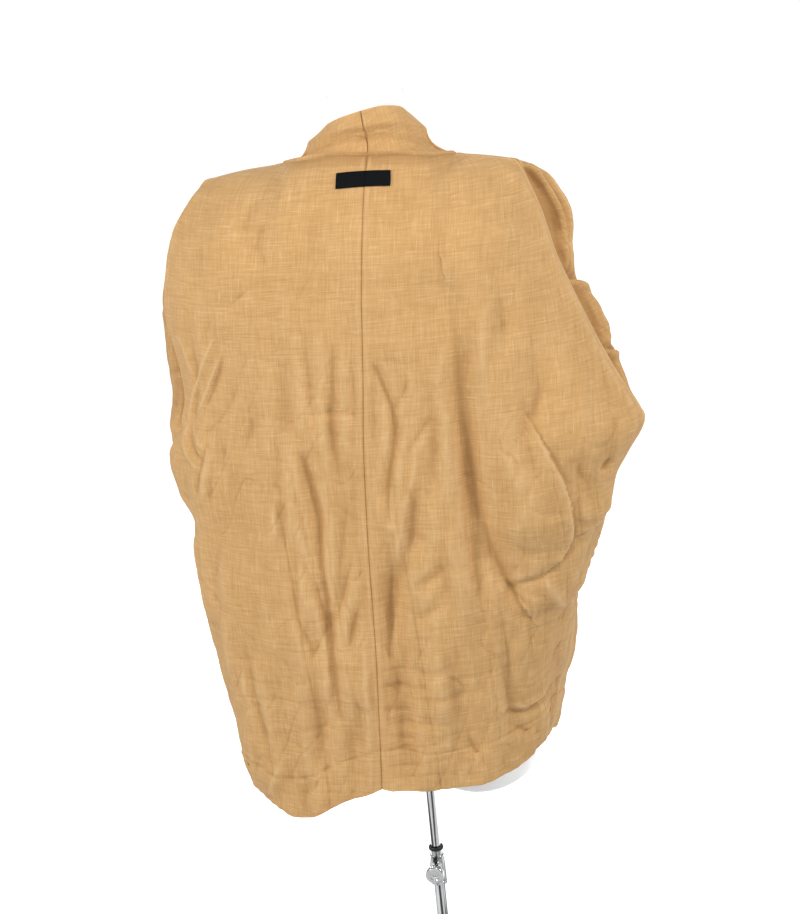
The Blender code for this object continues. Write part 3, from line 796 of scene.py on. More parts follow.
class EdgeRow(NamedTuple):
    """A place on a half's outer edge: overarm, cuff, underarm, side and hem corner.

    The back's and the front's edges are one seam but for the cuff. swell is how far the front
    stands out past it.
    """

    z: float
    back_x: float
    back_y: float
    front_x: float
    front_y: float
    swell: float


class CentreRow(NamedTuple):
    """A place on the centre back seam, with the cloth's depth there."""

    z: float
    x: float
    depth: float


class TopRow(NamedTuple):
    """A place on the neckline or the shoulder seam, by share of a back's top row."""

    share: float
    x: float
    y: float
    z: float


class FrontRow(NamedTuple):
    """The front's inner edge and the band's free edge, as distances from the centre front."""

    z: float
    edge_x: float
    edge_depth: float
    band_x: float
    band_y: float


class StandRow(NamedTuple):
    """The band's free edge behind the neck, and how far its foot rolls out over the neck seam."""

    share: float
    x_right: float
    x_left: float
    y: float
    z_right: float
    z_left: float
    roll: float


def table(kind: type, *rows: Sequence[object]) -> tuple:
    """A table of one kind's rows, each with its fields in their order."""
    return tuple(kind(*row) for row in rows)


def curve(rows: Sequence[NamedTuple], by: str, name: str) -> Curve:
    """The curve of one column of a table by another."""
    return Curve([getattr(row, by) for row in rows], [getattr(row, name) for row in rows])


EDGE: dict[Side, tuple[EdgeRow, ...]] = {
    Side.RIGHT: table(
        EdgeRow,
        (1.334, 0.172, 0.000, 0.172, 0.000, 0.000),
        (1.322, 0.177, 0.001, 0.177, 0.001, 0.018),
        (1.300, 0.186, 0.002, 0.186, 0.002, 0.032),
        (1.271, 0.196, 0.004, 0.196, 0.004, 0.036),
        (1.225, 0.208, 0.006, 0.208, 0.006, 0.024),
        (1.196, 0.219, 0.008, 0.219, 0.008, 0.011),
        (1.155, 0.236, 0.010, 0.236, 0.010, 0.020),
        (1.114, 0.254, 0.012, 0.254, 0.012, 0.018),
        (1.061, 0.281, 0.014, 0.281, 0.014, 0.008),
        (1.031, 0.298, 0.016, 0.298, 0.016, 0.000),
        (0.993, 0.277, 0.028, 0.266, -0.018, 0.000),
        (0.970, 0.263, 0.034, 0.252, -0.028, 0.000),
        (0.940, 0.255, 0.034, 0.246, -0.028, 0.000),
        (0.921, 0.247, 0.020, 0.241, -0.014, 0.000),
        (0.900, 0.240, 0.002, 0.240, 0.002, 0.000),
        (0.845, 0.217, 0.000, 0.217, 0.000, 0.000),
        (0.820, 0.201, 0.000, 0.201, 0.000, 0.000),
        (0.774, 0.195, 0.000, 0.195, 0.000, 0.000),
        (0.742, 0.189, 0.000, 0.189, 0.000, 0.000),
        (0.704, 0.175, 0.002, 0.175, 0.002, 0.000),
        (0.668, 0.167, 0.006, 0.167, 0.006, 0.000),
        (0.646, 0.159, 0.012, 0.159, 0.012, 0.000),
    ),
    Side.LEFT: table(
        EdgeRow,
        (1.337, 0.194, 0.000, 0.194, 0.000, 0.000),
        (1.312, 0.212, 0.002, 0.212, 0.002, 0.010),
        (1.275, 0.234, 0.004, 0.234, 0.004, 0.018),
        (1.214, 0.249, 0.006, 0.249, 0.006, 0.026),
        (1.188, 0.252, 0.006, 0.252, 0.006, 0.031),
        (1.147, 0.247, 0.006, 0.247, 0.006, 0.039),
        (1.091, 0.241, 0.006, 0.241, 0.006, 0.047),
        (1.045, 0.250, 0.006, 0.250, 0.006, 0.046),
        (1.030, 0.256, 0.004, 0.256, 0.004, 0.038),
        (1.000, 0.258, 0.006, 0.290, -0.050, 0.008),
        (0.970, 0.251, 0.010, 0.280, -0.058, 0.002),
        (0.945, 0.248, 0.006, 0.258, -0.036, 0.000),
        (0.925, 0.251, -0.004, 0.251, -0.004, 0.000),
        (0.899, 0.254, -0.002, 0.254, -0.002, 0.000),
        (0.833, 0.251, 0.000, 0.251, 0.000, 0.000),
        (0.751, 0.241, 0.002, 0.241, 0.002, 0.000),
        (0.669, 0.228, 0.008, 0.228, 0.008, 0.000),
        (0.630, 0.219, 0.015, 0.219, 0.015, 0.000),
        (0.606, 0.211, 0.022, 0.211, 0.022, 0.000),
    ),
}

CENTRE = table(
    CentreRow,
    (1.358, -0.015, 0.118),
    (1.270, -0.010, 0.118),
    (1.207, -0.004, 0.121),
    (1.120, 0.002, 0.127),
    (1.038, 0.009, 0.131),
    (0.909, 0.015, 0.136),
    (0.814, 0.017, 0.140),
    (0.718, 0.021, 0.145),
    (0.633, 0.025, 0.150),
)

TOP: dict[Side, tuple[TopRow, ...]] = {
    Side.RIGHT: table(
        TopRow,
        (0.00, -0.015, 0.066, 1.3580),
        (0.16, -0.047, 0.064, 1.3570),
        (0.32, -0.082, 0.046, 1.3510),
        (0.45, -0.104, 0.000, 1.3455),
        (0.72, -0.138, 0.000, 1.3405),
        (1.00, -0.172, 0.000, 1.3340),
    ),
    Side.LEFT: table(
        TopRow,
        (0.00, -0.015, 0.066, 1.3580),
        (0.16, 0.026, 0.064, 1.3610),
        (0.32, 0.070, 0.046, 1.3565),
        (0.45, 0.100, 0.000, 1.3490),
        (0.72, 0.148, 0.000, 1.3445),
        (1.00, 0.194, 0.000, 1.3370),
    ),
}

HEM: dict[Side, Curve] = {
    Side.RIGHT: Curve((0.0, 0.12, 0.3, 0.6, 0.85, 1.0), (0.0, 0.004, 0.011, 0.013, 0.010, 0.0)),
    Side.LEFT: Curve((0.0, 0.24, 0.55, 0.83, 1.0), (0.0, 0.010, 0.028, 0.014, 0.0)),
}

FRONT = table(
    FrontRow,
    (1.345, 0.102, 0.112, 0.058, 0.000),
    (1.318, 0.096, 0.112, 0.050, -0.044),
    (1.262, 0.080, 0.112, 0.032, -0.090),
    (1.190, 0.063, 0.117, 0.014, -0.112),
    (1.090, 0.053, 0.124, 0.004, -0.127),
    (0.980, 0.052, 0.127, 0.003, -0.130),
    (0.800, 0.052, 0.128, 0.003, -0.131),
    (0.622, 0.052, 0.128, 0.003, -0.131),
)

STAND = table(
    StandRow,
    (0.00, -0.010, -0.010, 0.0560, 1.4075, 1.4075, 0.009),
    (0.35, -0.034, 0.014, 0.0520, 1.4110, 1.4020, 0.009),
    (0.70, -0.052, 0.034, 0.0340, 1.4080, 1.3950, 0.009),
    (1.00, -0.057, 0.048, 0.0000, 1.3960, 1.3860, 0.009),
)


@dataclass
class Pattern:
    """The jacket's form: its edge lines, and the surface that each panel hangs in."""

    neck_column: int = 6
    back_columns: int = 18
    top_share: float = 0.16
    bulge_at: float = 0.42
    roundness: float = 2.2
    front_drift: float = 0.028

    def __post_init__(self) -> None:
        """Works out the share of a back's top row that is neckline."""
        t = self.neck_column / self.back_columns
        self.neck_share = 0.35 * t + 0.65 * math.sin(t * math.pi / 2)

    def edge(self, side: Side, face: Face, down: Grid) -> Grid:
        """The outer edge of a panel, a share of the way down."""
        rows = EDGE[side]
        z = rows[0].z + (rows[-1].z - rows[0].z) * down
        joined = np.array([row[1:3] == row[3:5] for row in rows])
        heights = np.array([row.z for row in rows])
        above = np.clip(np.searchsorted(-heights, -z, side="right") - 1, 0, len(rows) - 2)
        one = joined[above] & joined[above + 1]
        back = [curve(rows, "z", name)(z) for name in ("back_x", "back_y")]
        own = back
        if face is Face.FRONT:
            front = [curve(rows, "z", name)(z) for name in ("front_x", "front_y")]
            own = [np.where(one, b, f) for b, f in zip(back, front)]
        return np.stack([side.value * own[0], own[1], z], -1)

    def parted(self, side: Side, down: Grid) -> Grid:
        """How far the back's and the front's edges stand apart."""
        return dot_length(self.edge(side, Face.BACK, down) - self.edge(side, Face.FRONT, down))

    def top(self, side: Side, share: Grid | float) -> Grid:
        """The neckline and shoulder seam, by share of the back's top row."""
        return np.stack([curve(TOP[side], "share", name)(share) for name in ("x", "y", "z")], -1)

    def drift(self, z: Grid) -> Grid:
        """How far the centre front leans to the wearer's left at a height."""
        down = (FRONT[0].z - z) / (FRONT[0].z - FRONT[-1].z)
        return self.front_drift * down * down

    def inner(self, side: Side, face: Face, down: Grid) -> Grid:
        """The centre back seam, or the front's edge to the band, with its full depth as y."""
        if face is Face.BACK:
            z = CENTRE[0].z + (CENTRE[-1].z - CENTRE[0].z) * down
            return np.stack([curve(CENTRE, "z", "x")(z), curve(CENTRE, "z", "depth")(z), z], -1)
        start = self.top(side, self.neck_share)
        z = FRONT[0].z + (FRONT[-1].z - FRONT[0].z) * down + (start[2] - FRONT[0].z) * (1 - down)
        shift = (abs(start[0]) - FRONT[0].edge_x) * np.maximum(0.0, 1 - down / 0.2)
        x = curve(FRONT, "z", "edge_x")(z) + shift
        depth = curve(FRONT, "z", "edge_depth")(z)
        return np.stack([side.value * x + self.drift(z), -depth, z], -1)

    def surface(self, side: Side, face: Face, share: Grid, down: Grid) -> Grid:
        """A panel's outer face before its creases.

        Args:
            side: The wearer's left or right.
            face: Back or front.
            share: From the panel's centre, 0, to its outer edge, 1.
            down: From the top, 0, to the hem, 1.

        Returns:
            Points, [..., xyz].
        """
        back = face is Face.BACK
        top_share = share if back else self.neck_share + (1 - self.neck_share) * share
        top = self.top(side, top_share)
        top_in = self.top(side, 0.0 if back else self.neck_share)
        top_out = self.top(side, 1.0)
        inner, outer = self.inner(side, face, down), self.edge(side, face, down)
        point = []
        for axis in (0, 2):
            line = (1 - share) * inner[..., axis] + share * outer[..., axis]
            rest = top[..., axis] - ((1 - share) * top_in[axis] + share * top_out[axis])
            point.append(line + (1 - down) * rest)
        x, z = point
        z = z - down**6 * HEM[side](share)
        round_off = np.maximum(0.0, 1 - share**self.roundness) ** (1 / self.roundness)
        depth = outer[..., 1] + (inner[..., 1] - outer[..., 1]) * round_off
        fall = np.minimum(down / self.top_share, 1.0)
        at_neck = np.maximum(0.0, 1 - share / self.neck_share) if back else 0.0
        turn = (1 - (1 - fall) ** 2) ** (0.5 + 0.5 * np.minimum(1.0, 2 * at_neck))
        y = top[..., 1] + (depth - top[..., 1]) * turn
        if not back:
            swell = curve(EDGE[side], "z", "swell")(outer[..., 2])
            inset = np.maximum((1 - share) / self.bulge_at, 0.0) ** 0.39
            x = x + side.value * swell * np.sin(math.pi * np.minimum(1.0, inset))
        return np.stack([x, y, z], -1)


# ---- creases of the cloth, in millimetres ------------------------------------------------------


def creases(*rows: Sequence[object]) -> tuple[Crease, ...]:
    """Creases from rows in millimetres: the line's points, wide and deep, and then the other fields."""
    made = []
    for points, wide, deep, *rest in rows:
        line = tuple((x * MILLIMETRE, z * MILLIMETRE) for x, z in points)
        made.append(Crease(line, wide * MILLIMETRE, deep * MILLIMETRE, *rest))
    return tuple(made)


BACK_CREASES: tuple[Crease, ...] = creases(
    # upper left, below the shoulder
    (((120, 1320), (130, 1300), (136, 1272)), 12.9, 5.3),
    (((104, 1302), (112, 1282), (118, 1260)), 11, 4.5),
    (((105, 1262), (104, 1248)), 3.7, 2.1, 1.3),
    (((122, 1228), (140, 1216), (158, 1202)), 5.5, 2.2, 1.3),
    (((30, 1300), (60, 1250), (75, 1190)), 18.4, 3),
    # gathers of the left sleeve, running to its cuff
    (((190, 1200), (196, 1170), (202, 1140)), 9, -2.6),
    (((178, 1168), (205, 1125), (225, 1095), (236, 1048)), 3.4, -4, 1.3),
    (((165, 1160), (195, 1110), (217, 1078)), 3.4, -3.4, 1.3),
    (((230, 1168), (221, 1135), (216, 1108)), 3.4, -2.8, 1.3),
    (((168, 1152), (186, 1112), (208, 1082)), 7, 3.4, 1.4),
    (((212, 1160), (213, 1120), (224, 1076)), 6, 3.6, 1.4),
    (((244, 1160), (240, 1118), (240, 1072)), 6, 3.4, 1.4),
    (((234, 1054), (241, 1040), (236, 1022), (220, 1012)), 3.4, -3.8, 1.3),
    (((230, 1046), (228, 1032), (214, 1023)), 4.2, 4.6, 1.3),
    (((226, 1058), (216, 1042), (204, 1036)), 3.4, -3, 1.3),
    (((205, 1040), (217, 1012), (224, 982)), 5.5, 5, 1.4, -0.5),
    (((196, 1030), (205, 995), (211, 945)), 9, 4.2, 1.5),
    (((138, 1078), (147, 1058), (156, 1036)), 9, 4.2, 1.5),
    (((180, 1052), (184, 1034), (186, 1016)), 9, 4.6, 1.5),
    (((150, 1120), (175, 1082), (205, 1056)), 7, 2.8, 1.4),
    # hanging folds left of the centre seam
    (((65, 1172), (66, 1120), (64, 1062)), 9.2, 4.5),
    (((34, 1158), (40, 1096), (46, 1042)), 8.3, 4.8, 1.5),
    (((50, 1120), (53, 1060), (56, 1000)), 7.4, -3),
    (((82, 1030), (74, 992), (70, 955), (74, 905), (70, 860)),
     6.4, 8.3, 1.35, -0.25),
    (((72, 880), (71, 820), (70, 760), (68, 722)), 6.4, 8.3, 1.3, 0.25),
    (((38, 905), (50, 872), (61, 842)), 7.4, 6.3, 1.4),
    (((34, 852), (43, 826), (51, 802)), 6.4, 5.4, 1.4),
    (((44, 740), (50, 700), (60, 650)), 18, 7.5, 1.6),
    (((100, 940), (103, 892), (106, 842)), 5.5, 3.9, 1.4),
    (((106, 838), (98, 812), (94, 795)), 5.5, 3.3, 1.3),
    (((76, 828), (86, 808), (94, 795)), 5.5, 3.3, 1.3),
    (((120, 990), (124, 960), (126, 930)), 6.4, -3.3),
    (((72, 1080), (40, 1083), (10, 1078)), 5.5, 2.4, 1.4),
    (((95, 760), (98, 710), (104, 660)), 9.2, 4.2),
    # left side
    (((206, 930), (216, 893), (226, 855)), 12, 6.3),
    (((186, 790), (180, 725), (170, 662)), 12, 8.3, 1.5),
    (((205, 820), (212, 760), (206, 700)), 11, -5.3),
    (((148, 660), (160, 636), (172, 612)), 8.3, -4.8),
    (((150, 900), (158, 840), (160, 780)), 12.9, 3.3),
    # right of the centre seam
    (((-13, 1130), (-26, 1090), (-31, 1058), (-16, 1004), (-12, 960)),
     6.4, 7.5, 1.25, -0.2),
    (((-48, 1112), (-40, 1098), (-30, 1082)), 5.5, 3.3, 1.3),
    (((-10, 895), (-1, 850), (4, 795)), 7.4, 6.3, 1.4),
    (((-50, 1025), (-30, 960), (-12, 890)), 6.4, -4.2, 1.5),
    (((-46, 985), (-34, 935), (-24, 880)), 7.4, 3.6, 1.5),
    (((13, 820), (9, 808), (5, 792)), 3.2, 2.4, 1.2),
    (((-66, 1068), (-55, 1052), (-40, 1032)), 5.5, 3.9, 1.4),
    # upper right, below the neck
    (((-86, 1336), (-62, 1308), (-32, 1278)), 17.5, 6.7),
    (((-105, 1320), (-106, 1308), (-104, 1294)), 7.4, 3),
    (((-122, 1285), (-158, 1266), (-195, 1240)), 11, -3.9),
    (((-135, 1250), (-150, 1225), (-158, 1200)), 11, 3.3),
    # the strong fold that parts the body from the right sleeve, and the pouch beside it
    (((-100, 1205), (-108, 1130), (-106, 1085), (-110, 1040), (-110, 995), (-115, 955),
      (-122, 915), (-142, 862)), 20, 15, 1.6, -0.35),
    (((-110, 1090), (-111, 1020), (-114, 950), (-142, 862)), 6, 2.4, 1.2),
    (((-134, 1178), (-131, 1140), (-130, 1105)), 9.2, -5.4),
    (((-155, 1198), (-157, 1168), (-153, 1138)), 10.1, 5.1),
    (((-188, 1120), (-193, 1090), (-186, 1068), (-176, 1056)), 12, 5.8, 1.5, 0.4),
    (((-176, 1062), (-190, 1034), (-204, 1000), (-214, 966), (-215, 935)),
     6.5, 2.7, 1.3, 0.7, True),
    (((-216, 945), (-213, 918), (-200, 892), (-182, 878)), 8, 4.2, 1.3, 0.7, True),
    (((-186, 880), (-168, 868), (-142, 861)), 6, 3.8, 1.3, 0.5),
    (((-140, 866), (-148, 850), (-158, 836)), 6, 3.4, 1.3),
    (((-165, 1010), (-176, 950), (-170, 905)), 23.9, -9),
    # the right sleeve's lower edge over the side
    (((-262, 997), (-258, 990), (-250, 984)), 5.5, 6.7, 1.4),
    (((-258, 938), (-238, 921), (-216, 912)), 5.5, 7.5, 1.3, 0.9, True),
    (((-250, 928), (-234, 916), (-218, 908)), 3.2, -4.5, 1.2),
    (((-238, 912), (-228, 885), (-214, 850)), 7.4, 6.7, 1.4),
    (((-225, 1000), (-236, 975), (-238, 945)), 9.2, 4.5),
    # lower right
    (((-72, 897), (-55, 884), (-34, 874)), 8.3, 3.6),
    (((-62, 852), (-46, 842), (-30, 834)), 7.4, 3.3),
    (((-66, 776), (-45, 771), (-18, 772)), 6.4, 2.5),
    (((-90, 742), (-50, 738), (-10, 742)), 5.5, 2.1, 1.5),
    (((-130, 815), (-133, 740), (-126, 655)), 9.2, 4.5, 1.5),
    (((-178, 712), (-165, 702), (-145, 696), (-128, 704)), 4.1, 3.9, 1.3, 0.8),
    (((-80, 688), (-86, 670), (-96, 648)), 5.5, 3.6, 1.4),
    (((-134, 684), (-144, 674), (-155, 664)), 4.6, 3.3, 1.3),
    (((-184, 780), (-174, 742), (-166, 700)), 6.4, 3.9, 1.4),
    (((-176, 866), (-184, 840), (-190, 812)), 8.3, -5.1),
    (((-100, 830), (-104, 770), (-100, 700)), 11, 3),
    # long folds and bands over the lower back
    (((50, 1125), (45, 1050), (40, 1005)), 10, 4.5, 1.5),
    (((95, 910), (80, 865), (70, 815)), 8, 4.8, 1.4, 0.3),
    (((35, 980), (50, 910), (60, 860), (75, 815)), 9, 4.2, 1.4),
    (((-15, 930), (-15, 875), (0, 815)), 10, 4.5, 1.5),
    (((-80, 1090), (-65, 1010), (-50, 930)), 13, 5, 1.6, 0.3),
    (((85, 745), (100, 665), (130, 610)), 16, 6.5, 1.6),
    (((34, 755), (0, 757), (-34, 753)), 5, 2.2, 1.4),
    (((34, 730), (6, 727), (-20, 726)), 5, 2.2, 1.4),
    (((28, 710), (-16, 712), (-62, 708)), 5, 2.2, 1.4),
    (((-130, 895), (-150, 845), (-155, 790)), 8, 4.5, 1.4),
    (((-125, 775), (-130, 725), (-135, 680)), 9, 4.2, 1.5, 0.3),
)

FRONT_CREASES: dict[Side, tuple[Crease, ...]] = {
    Side.RIGHT: creases(
        (((-130, 1300), (-155, 1230), (-175, 1150)), 14, 4.5),
        (((-175, 1310), (-205, 1270), (-222, 1225)), 9, 4.5, 1.4),
        (((-180, 1285), (-212, 1235), (-224, 1190)), 8, -3.5, 1.5),
        (((-150, 1190), (-200, 1120), (-250, 1060)), 11, 5.5, 1.5),
        (((-145, 1120), (-195, 1060), (-240, 1020)), 10, -4.5, 1.5),
        (((-130, 1080), (-180, 1010), (-225, 960)), 10, 6, 1.5),
        (((-115, 1180), (-118, 1080), (-130, 980)), 14, 6, 1.6),
        (((-140, 960), (-180, 925), (-215, 915)), 10, 5, 1.4),
        (((-100, 960), (-95, 860), (-100, 760)), 10, 4, 1.5),
        (((-135, 870), (-140, 790), (-130, 700)), 12, 4.5, 1.5),
        (((-70, 900), (-78, 820), (-74, 740)), 8, 2.6, 1.4),
        (((-160, 800), (-155, 740), (-145, 680)), 8, -3),
        (((-90, 1120), (-120, 1090), (-155, 1075)), 7, 2.2, 1.4),
    ),
    Side.LEFT: creases(
        (((135, 1300), (165, 1220), (185, 1140)), 14, 4.5),
        (((180, 1300), (225, 1240), (255, 1170)), 10, 4, 1.5),
        (((165, 1240), (215, 1160), (262, 1080)), 11, 5.5, 1.5),
        (((155, 1180), (205, 1110), (262, 1035)), 10, -4.5, 1.5),
        (((145, 1130), (200, 1060), (262, 1000)), 10, 6, 1.5),
        (((120, 1190), (126, 1090), (145, 980)), 14, 6, 1.6),
        (((155, 1010), (205, 965), (250, 945)), 10, 5, 1.4),
        (((115, 980), (118, 880), (130, 770)), 10, 4, 1.5),
        (((170, 890), (185, 800), (180, 700)), 13, 5, 1.5),
        (((85, 890), (92, 800), (100, 720)), 8, 2.8, 1.4),
        (((205, 830), (206, 750), (195, 680)), 10, -3.2),
        (((100, 1090), (130, 1070), (170, 1065)), 7, 2.2, 1.4),
    ),
}


# Folds of the fronts' overarm: their points are distances from the seam, and heights.
EDGE_FOLDS: tuple[Crease, ...] = creases(
    (((12, 1318), (20, 1285), (18, 1250), (10, 1215)), 3.8, 8.1, 1.4),
    (((26, 1312), (34, 1275), (30, 1235), (18, 1200)), 3.8, 7.4, 1.4),
    (((40, 1305), (48, 1265), (42, 1225)), 4.3, 6.8, 1.4),
    (((19, 1316), (27, 1280), (24, 1240), (14, 1208)), 3.4, -6.1, 1.4),
    (((34, 1308), (41, 1270), (36, 1230)), 3.8, -5.4, 1.4),
    (((10, 1200), (26, 1192), (50, 1180)), 4.3, 14.9, 1.3, -0.5),
    (((14, 1180), (20, 1150), (12, 1120)), 5.1, 9.5, 1.4),
    (((30, 1172), (34, 1140), (26, 1112)), 4.7, -6.1, 1.4),
    (((8, 1118), (22, 1112), (46, 1106)), 4.3, 10.8, 1.3, -0.5),
    (((12, 1100), (18, 1080), (10, 1062)), 4.7, 6.8, 1.4),
)


class Wrinkle(NamedTuple):
    """A layer of small wrinkles: its lattice's cell, how far that is turned, and its height."""

    cell: tuple[float, float]
    turn: float
    height: float
    ridged: bool = False


WRINKLES: dict[str, Wrinkle] = {
    "soft": Wrinkle((0.055, 0.130), 0.0, 0.0060),
    "upright": Wrinkle((0.0215, 0.210), 0.06, 0.0066),
    "middling": Wrinkle((0.024, 0.070), 0.10, 0.0026),
    "fine": Wrinkle((0.011, 0.024), -0.15, 0.00075),
    "lines": Wrinkle((0.026, 0.260), 0.10, 0.0013, True),
    "hatch": Wrinkle((0.030, 0.045), -0.5, 0.0009, True),
    "level": Wrinkle((0.085, 0.020), 0.05, 0.0010, True),
    "tiny": Wrinkle((0.0060, 0.0090), 0.4, 0.00022),
}


@dataclass
class Panel:
    """A back or a front with its sleeve, as a thin shell with its allowances turned in.

    steps and row_steps are the grid's steps across and down, of a back and of a front. near is where
    the points beside a seam lie, turned_in how deep the allowance's points go, and drape how much
    longer the cloth is than its height. quiet_left is how strong the seams' folds are on the left,
    and the pitches are those of the ripples along the side seam and the hem.
    """

    pattern: Pattern
    side: Side
    face: Face
    steps: tuple[float, float] = (2.4 * MILLIMETRE, 2.6 * MILLIMETRE)
    row_steps: tuple[float, float] = (2.8 * MILLIMETRE, 3.0 * MILLIMETRE)
    wall: float = 1.1 * MILLIMETRE
    seam_half_gap: float = 0.08 * MILLIMETRE
    groove: float = 1.5 * MILLIMETRE
    groove_half: float = 0.9 * MILLIMETRE
    allowance: float = 10 * MILLIMETRE
    allowance_rise: float = 0.5 * MILLIMETRE
    hem_turn: float = 48 * MILLIMETRE
    near: tuple[float, ...] = (0.0, 0.0008, 0.0016, 0.0026, 0.0040)
    turned_in: tuple[float, ...] = (0.0070, 0.0030)
    hem_rises: tuple[float, ...] = (0.0, 0.012, 0.040)
    hem_insets: tuple[float, ...] = (0.0018, 0.0030, 0.0030)
    drape: float = 1.02
    samples: int = 1500
    measured_row: float = 0.55
    measured_column: float = 0.35
    turned_area: float = 0.03
    quiet_left: float = 0.12
    side_pitch: float = 12.5 * MILLIMETRE
    hem_pitch: float = 16 * MILLIMETRE

    @property
    def name(self) -> str:
        """The panel's plain name, as its solid's."""
        return f"{self.face.name.lower()}_{self.side.name.lower()}"

    def spaced(self, line: Grid, at: Grid, step: float) -> Grid:
        """Shares at even steps along a line of the panel, closer together next to both its ends.

        Args:
            line: Points along it.
            at: The share of each point.
            step: The even step.

        Returns:
            The shares, from 0 to 1.
        """
        run = run_along(line)
        near = np.array(self.near)
        count = int(round((run[-1] - 2 * near[-1]) / step))
        middle = np.linspace(near[-1], run[-1] - near[-1], count + 1)[1:-1]
        wanted = np.concatenate([near, middle, run[-1] - near[::-1]])
        return np.interp(wanted, run, at)

    def layout(self) -> None:
        """Lays out the panel's columns and rows, its base surface and its grain."""
        turn = np.linspace(0, 1, self.samples)
        front = int(self.face is Face.FRONT)
        share = np.sin(turn * math.pi / 2) ** (2 / self.pattern.roundness)
        middle = self.pattern.surface(self.side, self.face, share, np.full_like(share, self.measured_row))
        shares = self.spaced(middle, share, self.steps[front])
        down = turn**1.6
        length = self.pattern.surface(self.side, self.face, np.full_like(down, self.measured_column), down)
        downs = self.spaced(length, down, self.row_steps[front])
        self.share, self.down = np.meshgrid(shares, downs, indexing="ij")
        self.base = self.pattern.surface(self.side, self.face, self.share, self.down)
        step = np.diff(self.base, axis=0)
        self.across = running(np.hypot(step[..., 0], step[..., 1]))
        self.along = self.drape * (CENTRE[0].z - self.base[..., 2])
        self.from_inner = run_along(self.base)
        self.from_edge = self.from_inner[-1:] - self.from_inner
        self.from_top = run_along(self.base, 1)
        self.from_hem = self.from_top[:, -1:] - self.from_top

    def outward(self, points: Grid) -> Grid:
        """The outward directions of a grid of the panel's points."""
        along = np.gradient(points, axis=0)
        down = np.gradient(points, axis=1)
        return unit(np.cross(along, down) * self.side.value * self.face.value)

    def square_to(self, seam: Grid) -> Grid:
        """Directions square to a seam, in the upright plane that faces the wearer's back."""
        run = np.gradient(seam, axis=0) * self.side.value
        return unit(np.stack([-run[:, 2], 0 * run[:, 0], run[:, 0]], -1))

    def seam_outward(self, normals: Grid) -> Grid:
        """Turns the outward directions on a seam into the seam's own plane."""
        in_plane = self.square_to(self.pattern.edge(self.side, Face.BACK, self.down[-1]))
        parted = eased(self.pattern.parted(self.side, self.down[-1]), 0.004, 0.012)[:, None]
        reach = eased(self.from_edge, 0.008, 0.0)[..., None]
        edge_normals = unit(in_plane * (1 - parted) + normals[-1] * parted)
        normals = normals * (1 - reach) + edge_normals[None] * reach
        upward = self.square_to(self.base[:, 0])
        upward *= np.sign(upward[:, 2:])
        sewn = np.ones_like(self.share[:, 0])
        if self.face is Face.BACK:
            neck_end = self.pattern.neck_share
            sewn = eased(self.share[:, 0], neck_end - 0.03, neck_end + 0.01)
        reach = (eased(self.from_top, 0.008, 0.0) * sewn[:, None])[..., None]
        normals = normals * (1 - reach) + upward[:, None] * reach
        if self.face is Face.BACK:
            reach = eased(self.from_inner, 0.006, 0.0)[..., None]
            flat = normals * np.array([0.0, 1.0, 1.0])
            normals = normals * (1 - reach) + flat * reach
        return unit(normals)

    def seam_form(self, distance: Grid) -> Grid:
        """The relief of a pressed seam by distance from it: a groove, and the allowance beside it."""
        groove = -self.groove * np.exp(-((distance / self.groove_half) ** 1.5))
        under = self.allowance_rise * eased(distance, self.allowance + 0.0015, self.allowance - 0.0015)
        return groove + under * eased(distance, 0.0, 0.003)

    def creases(self) -> tuple[Crease, ...]:
        """The panel's own creases."""
        return BACK_CREASES if self.face is Face.BACK else FRONT_CREASES[self.side]

    def strong(self) -> float:
        """How strong the folds along the outer seam are: the left sleeve hangs calmly."""
        return 1.0 if self.side is Side.RIGHT else self.quiet_left

    def arm(self) -> Grid:
        """1 beside the overarm, from the shoulder tip to above the elbow, and 0 elsewhere."""
        z = self.base[..., 2]
        return eased(z, 1.334, 1.318) * eased(z, 1.035, 1.060)

    def overarm(self) -> Grid:
        """The relief along the overarm seam: the back lies over it, the front hangs in behind it."""
        if self.face is Face.BACK:
            flat = 0.0045 * hump(self.from_edge, 0.022, 0.014)
            edge = 0.0016 * hump(self.from_edge, 0.0035, 0.0030)
            return self.arm() * (flat + edge)
        recess = -0.0085 * hump(self.from_edge, 0.0085, 0.0075)
        folds = sum(crease.press(self.from_edge, self.base[..., 2]) for crease in EDGE_FOLDS)
        return self.arm() * (recess + folds * self.strong())

    def crumpled(self) -> Grid:
        """The small uneven wrinkles, calm over the shoulders and lively towards the hem."""
        layers = Crumple(seed=11 + 2 * int(self.side is Side.LEFT) + int(self.face is Face.FRONT))
        u, v = self.across * self.side.value, self.along
        lively = 0.30 + 0.70 * eased(v, 0.18, 0.42)
        centre = lively * (0.75 + 0.35 * eased(self.across, 0.17, 0.08))
        half_lively = 0.3 + 0.7 * lively
        strengths = {
            "soft": lively,
            "upright": eased(self.across, 0.16, 0.09) * eased(v, 0.14, 0.30),
            "middling": centre,
            "fine": half_lively,
            "lines": centre,
            "hatch": half_lively,
            "level": eased(v, 0.45, 0.60),
            "tiny": 1.0,
        }
        total = np.zeros_like(u)
        for name, row in WRINKLES.items():
            draw = layers.ridged if row.ridged else layers.layer
            total += draw(u, v, row.cell, row.turn) * row.height * strengths[name]
        return total

